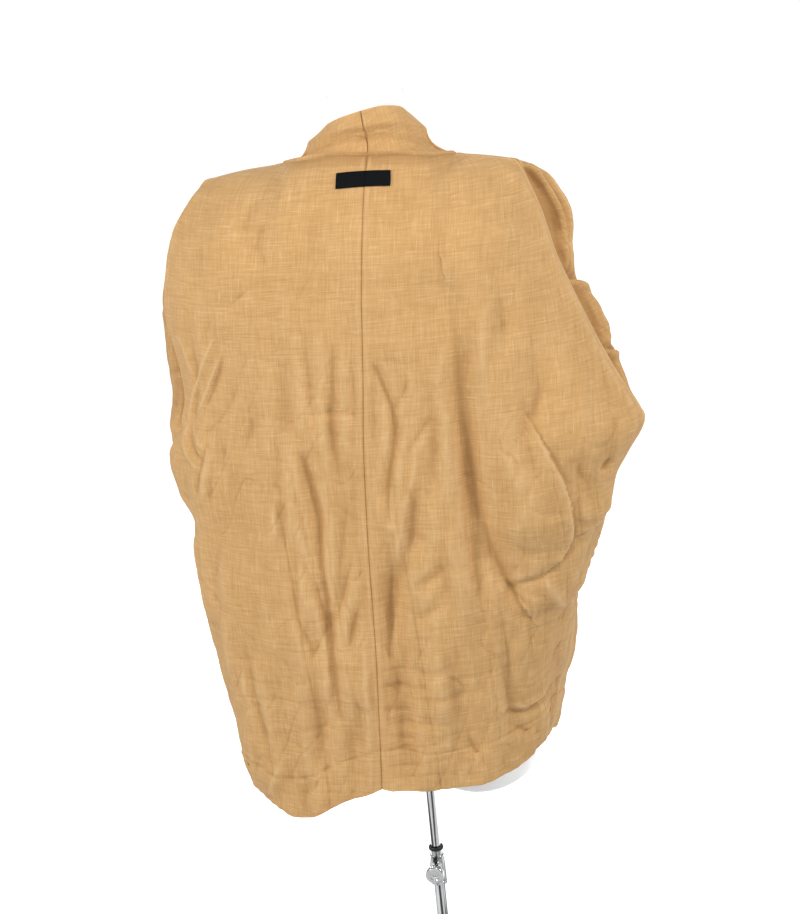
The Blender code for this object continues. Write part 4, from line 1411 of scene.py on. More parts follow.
    def puckers(self) -> Grid:
        """Small ripples that the side seam and the hem draw into the cloth."""
        wander = Crumple(seed=31)
        phase = wander.layer(self.from_edge * 0.2, self.along, (0.05, 0.03)) * 2.5
        patchy = eased(wander.layer(self.from_edge * 0.1, self.along, (0.05, 0.045)), -0.5, 0.7)
        side = np.sin(2 * math.pi * self.along / self.side_pitch + phase) * np.exp(-self.from_edge / 0.012)
        side = side * patchy * self.strong()
        below_sleeve = eased(self.base[..., 2], 0.90, 0.86)
        up = self.from_hem * 0.2
        phase = wander.layer(self.across, up, (0.06, 0.05)) * 2.5
        hem = np.sin(2 * math.pi * self.across / self.hem_pitch + phase) * np.exp(-self.from_hem / 0.010)
        wave = wander.layer(self.across, up, (0.045, 0.05)) * np.exp(-self.from_hem / 0.030)
        return 0.0013 * side * below_sleeve + 0.0003 * hem + 0.0022 * wave

    def relief(self) -> Grid:
        """Everything that moves the cloth off its base surface, with its seams."""
        x, z = self.base[..., 0], self.base[..., 2]
        folds = sum(crease.press(x, z) for crease in self.creases())
        free = (
            eased(self.from_inner, 0.001, 0.014)
            * eased(self.from_edge, 0.000, 0.016 if self.side is Side.RIGHT else 0.038)
            * eased(self.from_top, 0.004, 0.035)
        )
        out = (folds + self.crumpled()) * free + self.puckers() * eased(self.from_inner, 0.0, 0.01)
        out += self.overarm() * eased(self.from_edge, 0.0, 0.004)
        sewn = 1 - eased(self.pattern.parted(self.side, self.down[-1]), 0.002, 0.008)
        tight, strength = (1.2, 0.7) if self.face is Face.BACK else (1.0, 0.8)
        out += self.seam_form(self.from_inner * tight) * strength
        out += self.seam_form(self.from_edge) * sewn[None]
        out += self.seam_form(self.from_top)
        step = eased(self.from_hem, self.hem_turn + 0.0012, self.hem_turn - 0.0012)
        return out + 0.0007 * step - 0.0008 * hump(self.from_hem, self.hem_turn, 0.0022)

    def pale_and_painted_light(self, relief: Grid) -> Grid:
        """Pale pressed edges and painted highlight, up to 1, and painted shade in grooves and under overlaps,
        down to -1.
        """
        neck_end = self.pattern.neck_share
        neck = (self.face is Face.BACK) * eased(self.share, neck_end + 0.02, neck_end)
        edge = np.minimum(self.from_edge, self.from_top + 0.020 * neck)
        # Pale along pressed edges and seams: partly real wear, partly painted highlight.
        pale = hump(edge, 0.0045, 0.0022) * 0.8 + hump(self.from_inner, 0.0040, 0.0018) * 0.35
        # Painted shade in the seam grooves.
        groove = 0.3 * hump(self.from_inner, 0.0, 0.0010) + hump(edge, 0.0, 0.0012)
        # Painted shade along the hem turn's crease.
        hem = hump(self.from_hem, self.hem_turn, 0.0016) * 0.35
        # Painted shadow under the collar's roll.
        under = 0.9 * neck * hump(self.from_top, 0.0, 0.0150)
        if self.face is Face.FRONT:
            # Painted shade in the recess behind the back's overarm edge.
            reach = 0.016 + 0.024 * eased(self.base[..., 2], 1.225, 1.195)
            under = under + 0.95 * self.arm() * hump(self.from_edge, 0.008, reach)
        return np.clip(pale - groove - hem - under + self.bent(relief), -1, 1)

    def bent(self, relief: Grid) -> Grid:
        """How sharply the cloth is bent, painted as light: above 0, highlight on a ridge, and below 0, shade
        in a trough.
        """
        bend = np.zeros_like(relief)
        # Fine and broad curvature, used as painted highlight on ridges and painted shade in troughs.
        for far in (1, 2, 5):
            inner = slice(far, -far)
            sides = relief[2 * far:, inner] + relief[:-2 * far, inner]
            if far < 5:
                around = (sides + relief[inner, 2 * far:] + relief[inner, :-2 * far]) / 4
                bend[inner, inner] += (relief[inner, inner] - around) / (0.0017 * far**1.5)
            else:
                bend[inner, inner] += np.clip((relief[inner, inner] - sides / 2) / 0.0095, -0.35, 0.2)
        inside = eased(self.from_inner, 0.004, 0.012) * eased(self.from_edge, 0.004, 0.012)
        return np.clip(bend * inside, -0.75, 0.60)

    def cuff_bulge(self) -> Grid:
        """How far the left back swings out to the side, over the mouth of its sleeve."""
        z = self.base[..., 2]
        swing = eased(z, 0.925, 0.965) * eased(z, 1.052, 1.012) * eased(self.from_edge, 0.060, 0.0)
        on = float(self.face is Face.BACK and self.side is Side.LEFT)
        return np.stack([0.021 * on * swing, -0.004 * on * swing, 0 * swing], -1)

    def turn_in(self, points: Grid, normals: Grid) -> Grid:
        """Adds the allowances: turned in along every seam, and up inside at the hem."""
        deep = np.array(self.turned_in)
        padded = np.pad(points, ((2, 2), (2, 3), (0, 0)), mode="edge")
        inward = -np.pad(normals, ((2, 2), (2, 3), (0, 0)), mode="edge")
        columns = np.zeros(padded.shape[0])
        columns[:2], columns[-2:] = deep, deep[::-1]
        rows = np.zeros(padded.shape[1])
        rows[:2] = deep
        depth = np.maximum(columns[:, None], rows[None])
        padded += inward * depth[..., None]
        up = np.pad(unit(points[:, -12] - points[:, -1]), ((2, 2), (0, 0)), mode="edge")
        for at, rise, inset in zip((-3, -2, -1), self.hem_rises, self.hem_insets):
            padded[:, at] += inward[:, at] * inset + up * rise
        return padded

    def build(self, finish: bpy.types.Material) -> bpy.types.Object:
        """Models the panel.

        Args:
            finish: The linen.

        Returns:
            The piece.
        """
        self.layout()
        normals = self.seam_outward(self.outward(self.base))
        relief = self.relief()
        points = self.base + normals * relief[..., None]
        points = points + self.cuff_bulge()
        half = self.seam_half_gap
        points[-1, :, 1] += half * self.face.value
        points[:, 0, 1] += half * self.face.value
        if self.face is Face.BACK:
            points[0, :, 0] += half * self.side.value
        shell = self.turn_in(points, normals)
        pad = ((2, 2), (2, 3))
        across = np.pad(self.across * self.side.value, pad, mode="edge")
        along = np.pad(self.along, pad, mode="edge")
        painted_light_and_wear = np.pad(self.pale_and_painted_light(relief), pad, mode="edge")
        turned = self.side.value * self.face.value < 0
        bm = cloth_mesh(shell, across, along, painted_light_and_wear, turned)
        piece = settle(f"{self.name}_cloth", bm, finish, Body.TORSO, [self.name], 180)
        thicken(piece, self.wall)
        self.declare(piece)
        return piece

    def declare(self, piece: bpy.types.Object) -> None:
        """States the panel's flat cut, with its seam allowances and hem turn."""
        width = float(self.from_inner.max()) + 2 * self.allowance
        length = float(self.from_top.max()) + self.allowance + self.hem_turn
        cells = np.cross(np.diff(self.base, axis=0)[:, :-1], np.diff(self.base, axis=1)[:-1])
        area = min(float(dot_length(cells).sum()) + self.turned_area, 0.98 * width * length)
        LOG.info("%s: cut %.3f by %.3f m, %.3f square metres", piece.name, width, length, area)


# ---- the collar band ---------------------------------------------------------------------------


@dataclass
class CollarBand:
    """Half of the band: a strip folded double, round the neck and down the front's edge.

    way runs from the centre back, 0, to the shoulder, 1, and down to the hem, 2. neck_run and
    front_run are about how long the band is round the neck and down the front.
    """

    pattern: Pattern
    side: Side
    lift: float = 2.8 * MILLIMETRE
    seat: float = 4.6 * MILLIMETRE
    roll_out: float = 8 * MILLIMETRE
    overhang: float = 8.0 * MILLIMETRE
    thick: float = 3.0 * MILLIMETRE
    spread: float = 11 * MILLIMETRE
    neck_run: float = 0.14
    front_run: float = 0.74
    neck_rows: int = 54
    front_rows: int = 230
    roll_columns: int = 9
    face_columns: int = 26

    @property
    def name(self) -> str:
        """The half's plain name, as its solid's."""
        return f"collar_{self.side.name.lower()}"

    def parts(self, way: Grid) -> tuple[Grid, Grid]:
        """The share of the way round the neck, and the share of the way down the front."""
        return np.clip(way, 0, 1), np.clip(way - 1, 0, 1)

    def root(self, way: Grid) -> Grid:
        """Where the band is sewn on."""
        held, down = self.parts(way)
        neck = self.pattern.top(self.side, self.pattern.neck_share * held)
        neck = neck + np.stack([0 * held, -0.001 * (1 - held), self.lift + 0 * held], -1)
        front = self.pattern.surface(self.side, Face.FRONT, np.zeros_like(down), down)
        return np.where((way <= 1)[..., None], neck, front)

    def free(self, way: Grid) -> Grid:
        """The band's free edge."""
        tag = self.side.name.lower()
        held, down = self.parts(way)
        neck = np.stack([curve(STAND, "share", name)(held) for name in (f"x_{tag}", "y", f"z_{tag}")], -1)
        last = STAND[-1]
        z = FRONT[0].z + (FRONT[-1].z - FRONT[0].z) * down
        lift = getattr(last, f"z_{tag}") - FRONT[0].z
        shift = getattr(last, f"x_{tag}") - self.side.value * FRONT[0].band_x
        fade = np.maximum(0.0, 1 - down / 0.25) ** 2
        x = self.side.value * curve(FRONT, "z", "band_x")(z) + self.pattern.drift(z)
        front = np.stack([x + shift * fade, curve(FRONT, "z", "band_y")(z), z + lift * fade], -1)
        return np.where((way <= 1)[..., None], neck, front)

    def outward(self, way: Grid) -> Grid:
        """The direction in which the band's face looks."""
        root, free = self.root(way), self.free(way)
        ahead = np.minimum(way + 0.03, 2.0)
        behind = np.maximum(way - 0.03, 0.0)
        run = self.root(ahead) + self.free(ahead) - self.root(behind) - self.free(behind)
        normal = np.cross(free - root, run) * -self.side.value
        normal[..., 0] *= eased(way, 0.0, 0.05)
        return unit(normal)

    def face(self, way: Grid, across: Grid) -> Grid:
        """The outer face before its creases; across goes from its seam to its free edge."""
        root, free, out = self.root(way), self.free(way), self.outward(way)
        point = root + (free - root) * across[..., None]
        held, down = self.parts(way)
        roll = curve(STAND, "share", "roll")(held)
        bulge = roll * np.sin(math.pi * np.minimum(1.0, across / 0.62)) ** 0.8 + self.seat
        shape = self.roll_out * np.sin(math.pi * across) * np.maximum(0.25, 1 - down / 0.3)
        seat = self.seat * np.maximum(0.0, 1 - down / 0.08)
        lift = np.where(way <= 1, bulge, shape + seat)
        return point + out * lift[..., None]

    def section(self) -> tuple[Grid, Grid, Grid]:
        """The strip's section, from its seam down round the roll, up the face, over and down inside.

        Returns:
            Across, inset from the face and turn round the roll, from 0 at the seam to 1, of each point.
        """
        rolled = np.linspace(0, 1, self.roll_columns + 1)[:-1]
        low, top = 0.05, 0.985
        up = np.linspace(low, 1, self.face_columns)
        turn = np.linspace(0, math.pi, 7)[1:-1]
        over = top + (1 - top) * np.sin(turn)
        across = np.concatenate([0 * rolled + low, up * top, over, up[::-1] * top, [0.0]])
        inset = np.concatenate([0 * rolled, 0 * up, (1 - np.cos(turn)) / 2, 0 * up + 1, [1.0]])
        round_roll = np.concatenate([rolled, np.ones(len(inset) - len(rolled))])
        return across, inset, round_roll

    def rolled(self, points: Grid, way: Grid, round_roll: Grid) -> Grid:
        """Brings the strip's first points round the roll that hides the neck seam.

        Args:
            points: The strip's points.
            way: Each point's way.
            round_roll: Each point's turn round the roll.

        Returns:
            The points.
        """
        root, free, out = self.root(way), self.free(way), self.outward(way)
        up = unit(free - root)
        start = root + out * 0.0004 + up * 0.0015
        end = points[:, self.roll_columns:self.roll_columns + 1]
        angle = round_roll * math.pi / 2
        _, down = self.parts(way)
        spread = self.spread * eased(way, 0.45, 0.95) * (self.side is Side.LEFT)
        drop = (self.overhang + spread) * np.maximum(0.0, 1 - down / 0.07)
        eased_out = 1 - np.cos(angle)
        bent = start + (end - start) * (0.35 * eased_out + 0.65 * np.sin(angle))[..., None]
        bent = bent - up * (drop * np.sin(math.pi * round_roll**0.75))[..., None]
        bent = bent + out * (0.35 * drop * np.sin(math.pi * round_roll))[..., None]
        return np.where((round_roll < 1)[..., None], bent, points)

    def relief(self, way: Grid, across: Grid, outside: Grid) -> Grid:
        """The band's creases: one along its middle behind the neck, and small drags across it."""
        layers = Crumple(seed=51 + int(self.side is Side.LEFT))
        u = across * 0.05
        v = way * self.neck_run + np.maximum(way - 1, 0) * (self.front_run - self.neck_run)
        behind = eased(way, 1.25, 0.95)
        fold = -0.0034 * hump(across, 0.40 + 0.06 * np.sin(way * 5.0 + 0.6), 0.095) * behind
        drags = layers.layer(u, v, (0.030, 0.016), 0.35) * 0.0009
        ripple = layers.layer(u, v, (0.016, 0.030), -0.3) * 0.0006
        fine = layers.layer(u, v, (0.008, 0.012)) * 0.00025
        root = 0.0030 * hump(across, 0.14, 0.11) * behind
        return (fold + drags + ripple + fine + root) * outside

    def build(self, finish: bpy.types.Material) -> bpy.types.Object:
        """Models the half band.

        Args:
            finish: The linen.

        Returns:
            The piece.
        """
        near = np.array([0.0, 0.006, 0.014, 0.026])
        neck = np.linspace(near[-1], 1, self.neck_rows)[1:]
        down = np.linspace(0, 1, self.front_rows)[1:]
        ways = np.concatenate([near, neck, 1 + down])
        across, inset, round_roll = self.section()
        way, over = np.meshgrid(ways, across, indexing="ij")
        _, deep = np.meshgrid(ways, inset, indexing="ij")
        _, bent = np.meshgrid(ways, round_roll, indexing="ij")
        out = self.outward(ways)[:, None]
        points = self.face(way, over)
        points = points + out * self.relief(way, over, 1 - deep)[..., None]
        points = self.rolled(points, way, bent)
        from_back = ways * self.neck_run
        ends = np.minimum(from_back, (2 - ways) * self.front_run)
        full = self.thick * np.sqrt(1 - (1 - np.clip(ends / 0.004, 0.0, 1.0)) ** 2)
        at_seam = np.exp(-((from_back / 0.0012) ** 1.5)) * 0.0016
        points = points - out * (deep * full[:, None] + at_seam[:, None] * (1 - deep))[..., None]
        points[0, :, 0] += 0.08 * MILLIMETRE * self.side.value
        along = np.repeat(run_along(points)[:, :1], points.shape[1], 1)
        height = run_along(points, 1)
        # Painted light on the band: painted shade along its middle fold and at the centre seam, and a pale
        # folded top edge, partly pressed wear, partly painted highlight.
        painted_light_and_wear = -0.45 * hump(over, 0.36, 0.10) * eased(way, 1.1, 0.9)
        painted_light_and_wear += -0.7 * hump(way * self.neck_run, 0.0, 0.0010) + 0.5 * hump(over, 1.0, 0.03)
        painted_light_and_wear = np.clip(painted_light_and_wear, -1, 1)
        bm = cloth_mesh(points, height, along * self.side.value, painted_light_and_wear, self.side is Side.LEFT)
        piece = settle(f"{self.name}_cloth", bm, finish, Body.TORSO, [self.name], 180)
        turned_in = 20 * MILLIMETRE
        width, length = float(height[10, -1]) + turned_in, float(along[-1, 0]) + turned_in
        area = min(float(height[:, -1].mean()) + 0.008, width) * length
        LOG.info("%s: cut %.3f by %.3f m, %.3f square metres", piece.name, width, length, area)
        return piece


# ---- the label ---------------------------------------------------------------------------------


@dataclass
class Label:
    """A bare woven label, sewn on behind the neck."""

    width: float = 60 * MILLIMETRE
    height: float = 15.5 * MILLIMETRE
    middle: tuple[float, float] = (-0.012, 1.334)
    tilt: float = math.radians(1.5)
    stand_off: float = 0.45 * MILLIMETRE
    thick: float = 0.7 * MILLIMETRE
    bow: float = 0.9 * MILLIMETRE
    turned_under: float = 8 * MILLIMETRE
    columns: int = 60
    rows: int = 16

    def build(self, backs: "Backs", finish: bpy.types.Material) -> bpy.types.Object:
        """Models the label on the cloth that carries it.

        Args:
            backs: The cloth of both backs.
            finish: The label's weave.

        Returns:
            The piece.
        """
        shares = np.linspace(-0.5, 0.5, self.columns + 1), np.linspace(0.5, -0.5, self.rows + 1)
        a, b = np.meshgrid(*shares, indexing="ij")
        cosine, sine = math.cos(self.tilt), math.sin(self.tilt)
        x = self.middle[0] + a * self.width * cosine - b * self.height * sine
        z = self.middle[1] + a * self.width * sine + b * self.height * cosine
        z = z + self.bow * np.cos(math.pi * a)
        points = np.empty(a.shape + (3,))
        for index in np.ndindex(a.shape):
            place, out = backs.at(x[index], z[index])
            rim = 1 - eased(min(0.5 - abs(a[index]), (0.5 - abs(b[index])) * 0.3), 0.0, 0.02)
            points[index] = place + out * (self.stand_off + self.thick * (1.15 - 0.75 * rim))
        points = self.evened(points)
        bm = cloth_mesh(points, a * self.width, b * self.height, 0 * a, True)
        piece = settle("label_patch", bm, finish, Body.TORSO, ["label"], 180)
        thicken(piece, self.thick)
        return piece

    def evened(self, points: Grid) -> Grid:
        """Bridges the seam groove and the fine wrinkles, as the stiffer label does."""
        for _ in range(14):
            inside = points[1:-1, 1:-1]
            mean = (points[2:, 1:-1] + points[:-2, 1:-1] + points[1:-1, 2:] + points[1:-1, :-2]) / 4
            inside[..., 1] = np.maximum(inside[..., 1], mean[..., 1])
        return points


class Backs:
    """The cloth of both backs, read from behind."""

    def __init__(self, pieces: Sequence[bpy.types.Object]) -> None:
        """Reads the pieces' outer faces.

        Args:
            pieces: The two backs.
        """
        self.trees = []
        for piece in pieces:
            verts = [v.co.copy() for v in piece.data.vertices]
            faces = [tuple(p.vertices) for p in piece.data.polygons]
            self.trees.append(BVHTree.FromPolygons(verts, faces))

    def at(self, x: float, z: float) -> tuple[Grid, Grid]:
        """The outermost point and its outward side, seen from behind.

        Args:
            x: Where, across.
            z: Where, in height.

        Returns:
            The point and the direction.
        """
        start, ahead = Vector((x, 0.6, z)), Vector((0, -1, 0))
        best = None
        for tree in self.trees:
            place, normal, _, _ = tree.ray_cast(start, ahead, 1.0)
            if place is not None and (best is None or place.y > best[0].y):
                best = (place, normal)
        place, normal = best
        if normal.y < 0:
            normal = -normal
        return np.array(place), np.array(normal)


# ---- the dress form ----------------------------------------------------------------------------


class FormRow(NamedTuple):
    """A ring of the form: height, middle, half width, depths behind and before the axis."""

    z: float
    x: float
    half: float
    back: float
    front: float
    power: float


FORM = table(
    FormRow,
    (0.5740, 0.000, 0.060, 0.046, 0.044, 2.0),
    (0.5800, 0.000, 0.104, 0.074, 0.068, 2.1),
    (0.5960, 0.000, 0.132, 0.095, 0.085, 2.2),
    (0.6350, 0.000, 0.146, 0.105, 0.094, 2.3),
    (0.7000, 0.000, 0.155, 0.112, 0.098, 2.3),
    (0.7600, 0.000, 0.158, 0.112, 0.099, 2.3),
    (0.8400, 0.000, 0.149, 0.101, 0.094, 2.3),
    (0.9200, 0.000, 0.130, 0.087, 0.086, 2.2),
    (0.9900, 0.000, 0.119, 0.080, 0.083, 2.2),
    (1.0600, 0.000, 0.125, 0.082, 0.092, 2.2),
    (1.1200, 0.000, 0.136, 0.087, 0.101, 2.2),
    (1.1700, 0.000, 0.144, 0.091, 0.103, 2.2),
    (1.2200, 0.000, 0.152, 0.091, 0.094, 2.2),
    (1.2650, 0.000, 0.165, 0.083, 0.076, 2.2),
    (1.2950, 0.000, 0.173, 0.070, 0.060, 2.2),
    (1.3150, 0.004, 0.172, 0.054, 0.048, 2.2),
    (1.3280, 0.006, 0.157, 0.044, 0.038, 2.1),
    (1.3350, 0.006, 0.128, 0.041, 0.034, 2.0),
    (1.3420, 0.003, 0.082, 0.041, 0.034, 2.0),
    (1.3530, -0.002, 0.058, 0.043, 0.038, 2.0),
    (1.3750, -0.005, 0.048, 0.042, 0.041, 2.0),
    (1.4000, -0.005, 0.0455, 0.041, 0.040, 2.0),
    (1.4190, -0.005, 0.0450, 0.041, 0.040, 2.0),
    (1.4215, -0.005, 0.0430, 0.039, 0.038, 2.0),
)


@dataclass
class DressForm:
    """The smooth white torso with its neck stump, arched underneath where the pole goes in."""

    seat: float = 2.2 * MILLIMETRE
    seat_from: float = 1.25
    row_step: float = 8 * MILLIMETRE
    around: int = 120
    socket: float = 6.4 * MILLIMETRE
    fork_rise: float = 34 * MILLIMETRE
    fork_wide: float = 50 * MILLIMETRE
    fork_from: float = 0.600
    fork_to: float = 0.700

    def fork(self, x: float, z: float) -> float:
        """How far the underside's arch lifts a point of the form."""
        fade = min(1.0, max(0.0, (self.fork_to - z) / (self.fork_to - self.fork_from)))
        return self.fork_rise * fade * math.exp(-((x / self.fork_wide) ** 2))

    def ring(self, z: float, fields: dict[str, Curve]) -> list[tuple[float, float, float]]:
        """The points of the form's section at a height."""
        points = []
        for k in range(self.around):
            turn = 2 * math.pi * k / self.around
            c, s = math.cos(turn), math.sin(turn)
            bend = 2 / float(fields["power"](z))
            x = float(fields["x"](z)) + float(fields["half"](z)) * math.copysign(abs(c) ** bend, c)
            depth = float(fields["back" if s > 0 else "front"](z))
            points.append((x, depth * math.copysign(abs(s) ** bend, s), z + self.fork(x, z)))
        return points

    def build(self, finish: bpy.types.Material) -> bpy.types.Object:
        """Models the form as a loft of rings.

        Args:
            finish: The form's shell.

        Returns:
            The piece.
        """
        rows = [row._replace(z=row.z + (self.seat if row.z > self.seat_from else 0)) for row in FORM]
        fields = {name: curve(rows, "z", name) for name in ("x", "half", "back", "front", "power")}
        heights = []
        for low, high in zip(rows, rows[1:]):
            count = max(2, round((high.z - low.z) / self.row_step))
            heights += [low.z + (high.z - low.z) * k / count for k in range(count)]
        heights.append(rows[-1].z)
        bm = bmesh.new()
        loops = []
        for z in heights:
            verts = [bm.verts.new(point) for point in self.ring(z, fields)]
            loops.append([bm.edges.new(pair) for pair in zip(verts, verts[1:] + verts[:1])])
        for low, high in zip(loops, loops[1:]):
            bmesh.ops.bridge_loops(bm, edges=low + high)
        bmesh.ops.contextual_create(bm, geom=loops[-1])
        mouth = bmesh.ops.create_circle(bm, segments=self.around, radius=self.socket)["verts"]
        bmesh.ops.translate(bm, verts=mouth, vec=(0, 0, heights[0] + self.fork(0, heights[0])))
        rim = list({edge for vert in mouth for edge in vert.link_edges})
        bmesh.ops.bridge_loops(bm, edges=loops[0] + rim)
        bmesh.ops.recalc_face_normals(bm, faces=bm.faces)
        return settle("form_body", bm, finish, Body.TORSO, ["dress_form"], 38)


# ---- the stand ---------------------------------------------------------------------------------


@dataclass
class Stand:
    """Chrome pole in a lower tube with a clamp, on a round plate."""

    tube: float = 7.4 * MILLIMETRE
    tube_bore: float = 6.5 * MILLIMETRE
    tube_top: float = 0.4815
    tube_foot: float = 0.0063
    rod: float = 6.0 * MILLIMETRE
    rod_foot: float = 0.120
    rod_top: float = 0.6777
    ring: float = 9.3 * MILLIMETRE
    ring_height: float = 5.2 * MILLIMETRE
    knob_height: float = 0.4580
    knob: float = 11.5 * MILLIMETRE
    knob_neck: float = 5.0 * MILLIMETRE
    knob_reach: float = 27.0 * MILLIMETRE
    knob_teeth: int = 36
    tooth_depth: float = 0.28 * MILLIMETRE
    clamp: float = 10.8 * MILLIMETRE
    boss: float = 6.2 * MILLIMETRE
    boss_reach: float = 15.8 * MILLIMETRE
    base: float = 0.155
    base_height: float = 9 * MILLIMETRE
    hub: float = 20 * MILLIMETRE
    hub_height: float = 22 * MILLIMETRE
    gap: float = 0.3 * MILLIMETRE
    sides: int = 72

    def turned(self, *profile: tuple[float, float], closed: bool = False) -> bmesh.types.BMesh:
        """Spins a profile of radius and height round +Z.

        Args:
            profile: Its corners.
            closed: Whether its last corner joins its first, as on a ring.

        Returns:
            The mesh.
        """
        bm = bmesh.new()
        verts = [bm.verts.new((radius, 0, height)) for radius, height in profile]
        pairs = list(zip(verts, verts[1:])) + ([(verts[-1], verts[0])] if closed else [])
        edges = [bm.edges.new(pair) for pair in pairs]
        bmesh.ops.spin(
            bm, geom=verts + edges, cent=(0, 0, 0), axis=(0, 0, 1), angle=2 * math.pi,
            steps=self.sides, use_merge=True,
        )
        bmesh.ops.remove_doubles(bm, verts=bm.verts, dist=1e-6)
        bmesh.ops.recalc_face_normals(bm, faces=bm.faces)
        return bm

    def rounded(self, bm: bmesh.types.BMesh, width: float) -> bmesh.types.BMesh:
        """Rounds the sharp edges."""
        sharp = [e for e in bm.edges if len(e.link_faces) == 2 and e.calc_face_angle(0) > math.radians(30)]
        bmesh.ops.bevel(bm, geom=sharp, offset=width, segments=2, affect="EDGES", profile=0.5, material=-1)
        return bm

    def to_back(self, bm: bmesh.types.BMesh) -> bmesh.types.BMesh:
        """Turns a piece made on +Z onto the knob's axis, which points to the wearer's back."""
        turn = Matrix.Translation((0, 0, self.knob_height)) @ Matrix.Rotation(-math.pi / 2, 4, "X")
        bmesh.ops.transform(bm, matrix=turn, verts=bm.verts)
        return bm

    def build(
        self, chrome: bpy.types.Material, rubber: bpy.types.Material, steel: bpy.types.Material
    ) -> None:
        """Models the stand's pieces.

        Args:
            chrome: For the tubes, the clamp and the knob.
            rubber: For the bushing.
            steel: For the plate.
        """
        rod = self.turned(
            (0, self.rod_foot), (self.rod, self.rod_foot), (self.rod, self.rod_top), (0, self.rod_top)
        )
        settle("pole_rod", self.rounded(rod, 0.0008), chrome, Body.TORSO, ["pole"], 40)
        tube = self.turned(
            (self.tube, self.tube_foot), (self.tube, self.tube_top), (self.tube_bore, self.tube_top),
            (self.tube_bore, self.tube_foot), closed=True,
        )
        settle("outer_tube", self.rounded(tube, 0.0003), chrome, Body.STAND, ["lower_tube"], 40)
        low = self.tube_top + self.gap
        high = low + self.ring_height
        bore, ring = self.rod + self.gap, self.ring
        bushing = self.turned(
            (bore, low), (ring - 0.0010, low), (ring, low + 0.0012), (ring, high - 0.0014),
            (ring - 0.0008, high), (ring - 0.0016, high), (bore + 0.0004, high - 0.0013),
            (bore, high - 0.0013), closed=True,
        )
        bushing = self.rounded(bushing, 0.0003)
        settle("bushing", bushing, rubber, Body.STAND, ["bushing_ring"], 40)
        self.build_clamp(chrome)
        self.build_base(steel)

    def build_clamp(self, chrome: bpy.types.Material) -> None:
        """Models the clamp's sleeve and boss, and the screw knob with its milled rim."""
        bore, out, notch = self.tube + self.gap, self.clamp, self.clamp - 0.0005
        levels = (
            (bore, -0.0220), (0.0100, -0.0220), (out, -0.0212), (out, -0.0172), (notch, -0.0168),
            (notch, -0.0160), (out, -0.0156), (out, 0.0062), (notch, 0.0090), (0.0088, 0.0168),
            (bore, 0.0175),
        )
        bm = self.turned(*((radius, self.knob_height + level) for radius, level in levels), closed=True)
        out, notch = self.boss, self.boss - 0.0004
        boss = self.to_back(self.turned(
            (0, 0.0088), (out, 0.0088), (out, 0.0128), (notch, 0.0131), (notch, 0.0138), (out, 0.0141),
            (out, 0.0152), (out - 0.0008, self.boss_reach), (0, self.boss_reach),
        ))
        merged = bpy.data.meshes.new("boss")
        boss.to_mesh(merged)
        boss.free()
        bm.from_mesh(merged)
        bpy.data.meshes.remove(merged)
        settle("clamp_sleeve", self.rounded(bm, 0.00025), chrome, Body.STAND, ["clamp"], 35)
        near, far, rim, neck = self.boss_reach + self.gap, self.knob_reach, self.knob, self.knob_neck
        knob = self.turned(
            (0, near), (neck, near), (neck, far - 0.0080), (rim - 0.0012, far - 0.0078), (rim, far - 0.0068),
            (rim, far - 0.0012), (rim - 0.0014, far), (0.0062, far), (0.0056, far - 0.0006),
            (0.0022, far - 0.0006), (0.0018, far - 0.0016), (0, far - 0.0016),
        )
        for vert in knob.verts:
            radius = math.hypot(vert.co.x, vert.co.y)
            if radius > self.knob - 0.0002:
                tooth = 0.5 + 0.5 * math.cos(self.knob_teeth * math.atan2(vert.co.y, vert.co.x))
                vert.co.xy *= 1 - self.tooth_depth * tooth / radius
        knob = self.to_back(self.rounded(knob, 0.0002))
        settle("knob_disc", knob, chrome, Body.KNOB, ["clamp_knob"], 35)

    def build_base(self, steel: bpy.types.Material) -> None:
        """Models the plate with its hub."""
        socket, sunk = self.tube + self.gap, self.tube_foot - self.gap
        rim, top, hub, hub_top = self.base, self.base_height, self.hub, self.hub_height
        plate = self.turned(
            (0, 0), (rim - 0.0020, 0), (rim, 0.0020), (rim, top - 0.0030), (rim - 0.0012, top - 0.0010),
            (rim - 0.0040, top), (rim * 0.60, top), (hub + 0.0060, top), (hub + 0.0016, top + 0.0014),
            (hub, top + 0.0050), (hub, hub_top - 0.0030), (hub - 0.0026, hub_top),
            (socket + 0.0014, hub_top), (socket, hub_top - 0.0012), (socket, sunk), (0, sunk),
        )
        settle("base_plate", plate, steel, Body.STAND, ["base"], 25)


# ---- the studio --------------------------------------------------------------------------------


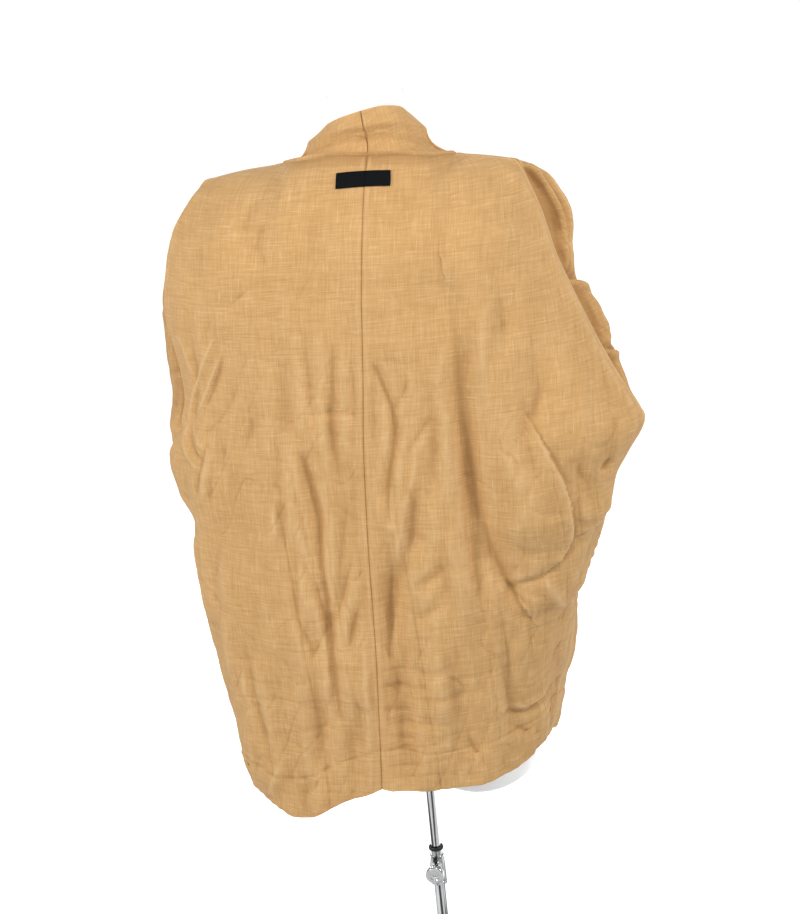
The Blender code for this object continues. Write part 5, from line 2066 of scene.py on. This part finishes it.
@dataclass
class Studio:
    """Pale floor, soft white light and the camera behind the wearer."""

    azimuth: float = 192.0
    distance: float = 2.30
    height: float = 1.60
    pitch: float = 14.8
    roll: float = 5.75
    aside: float = -0.1
    focal_pixels: float = 2000.0
    image_height: float = 914.0
    sensor: float = 36.0
    floor: float = 400.0

    def build_camera(self) -> None:
        """Sets the camera at the photograph's angle."""
        angle = math.radians(self.azimuth)
        place = Vector((math.sin(angle) * self.distance, -math.cos(angle) * self.distance, self.height))
        aim = angle + math.radians(self.aside)
        pitch, roll = math.radians(self.pitch), math.radians(self.roll)
        level = Vector((-math.sin(aim), math.cos(aim), 0))
        ahead = level * math.cos(pitch) + Vector((0, 0, -math.sin(pitch)))
        right = ahead.cross(Vector((0, 0, 1))).normalized()
        up = right.cross(ahead)
        turned_right = right * math.cos(roll) - up * math.sin(roll)
        turned_up = up * math.cos(roll) + right * math.sin(roll)
        lens = bpy.data.cameras.new("camera")
        lens.sensor_fit = "AUTO"
        lens.sensor_width = self.sensor
        lens.lens = self.sensor * self.focal_pixels / self.image_height
        camera = bpy.data.objects.new("camera", lens)
        matrix = Matrix((turned_right, turned_up, -ahead)).transposed().to_4x4()
        matrix.translation = place
        camera.matrix_world = matrix
        bpy.context.scene.collection.objects.link(camera)
        bpy.context.scene.camera = camera

    def lamp(
        self, name: str, place: Sequence[float], aim: Sequence[float], size: float, power: float
    ) -> None:
        """Adds a soft square light.

        Args:
            name: Its name.
            place: Where it stands.
            aim: What it points at.
            size: Its side.
            power: Its power in watts.
        """
        light = bpy.data.lights.new(name, "AREA")
        light.shape = "SQUARE"
        light.size = size
        light.energy = power
        lamp = bpy.data.objects.new(name, light)
        lamp.location = place
        lamp.rotation_mode = "QUATERNION"
        lamp.rotation_quaternion = (Vector(aim) - Vector(place)).to_track_quat("-Z", "Y")
        bpy.context.scene.collection.objects.link(lamp)

    def build(self, floor: bpy.types.Material) -> None:
        """Lays the floor, hangs the lights and sets the camera.

        Args:
            floor: The floor's material.
        """
        bm = bmesh.new()
        bmesh.ops.create_grid(bm, x_segments=8, y_segments=8, size=self.floor)
        mesh = bpy.data.meshes.new("floor")
        bm.to_mesh(mesh)
        bm.free()
        mesh.materials.append(floor)
        ground = bpy.data.objects.new("floor", mesh)
        bpy.context.scene.collection.objects.link(ground)
        self.lamp("key", (1.95, 2.00, 1.85), (0, 0.05, 1.00), 0.5, 42)
        self.lamp("right", (-2.40, 0.80, 2.20), (-0.1, 0, 1.10), 0.7, 30)
        self.lamp("fill", (-0.5, 1.6, 2.9), (-0.05, 0, 1.15), 0.7, 22)
        self.lamp("front_soft", (0.8, -3.0, 2.6), (0, 0, 1.0), 2.0, 40)
        world = bpy.data.worlds.new("studio")
        bpy.context.scene.world = world
        world.use_nodes = True
        sky = world.node_tree.nodes["Background"]
        sky.inputs["Color"].default_value = rgb(1.0, 1.0, 1.0)
        sky.inputs["Strength"].default_value = 0.23
        bpy.context.scene.view_settings.view_transform = "Standard"
        self.build_camera()


def main() -> None:
    """Builds the jacket, the form, the stand and the studio."""
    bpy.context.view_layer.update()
    linen = Linen().make()
    chrome, rubber = Chrome().make(), Rubber().make()
    pattern = Pattern()
    backs = []
    for side in Side:
        for face in Face:
            piece = Panel(pattern, side, face).build(linen)
            if face is Face.BACK:
                backs.append(piece)
        CollarBand(pattern, side).build(linen)
    Label().build(Backs(backs), LabelWeave().make())
    DressForm().build(FormSkin().make())
    Stand().build(chrome, rubber, BrushedSteel().make())
    Studio().build(Paper().make())


if __name__ == "__main__":
    main()
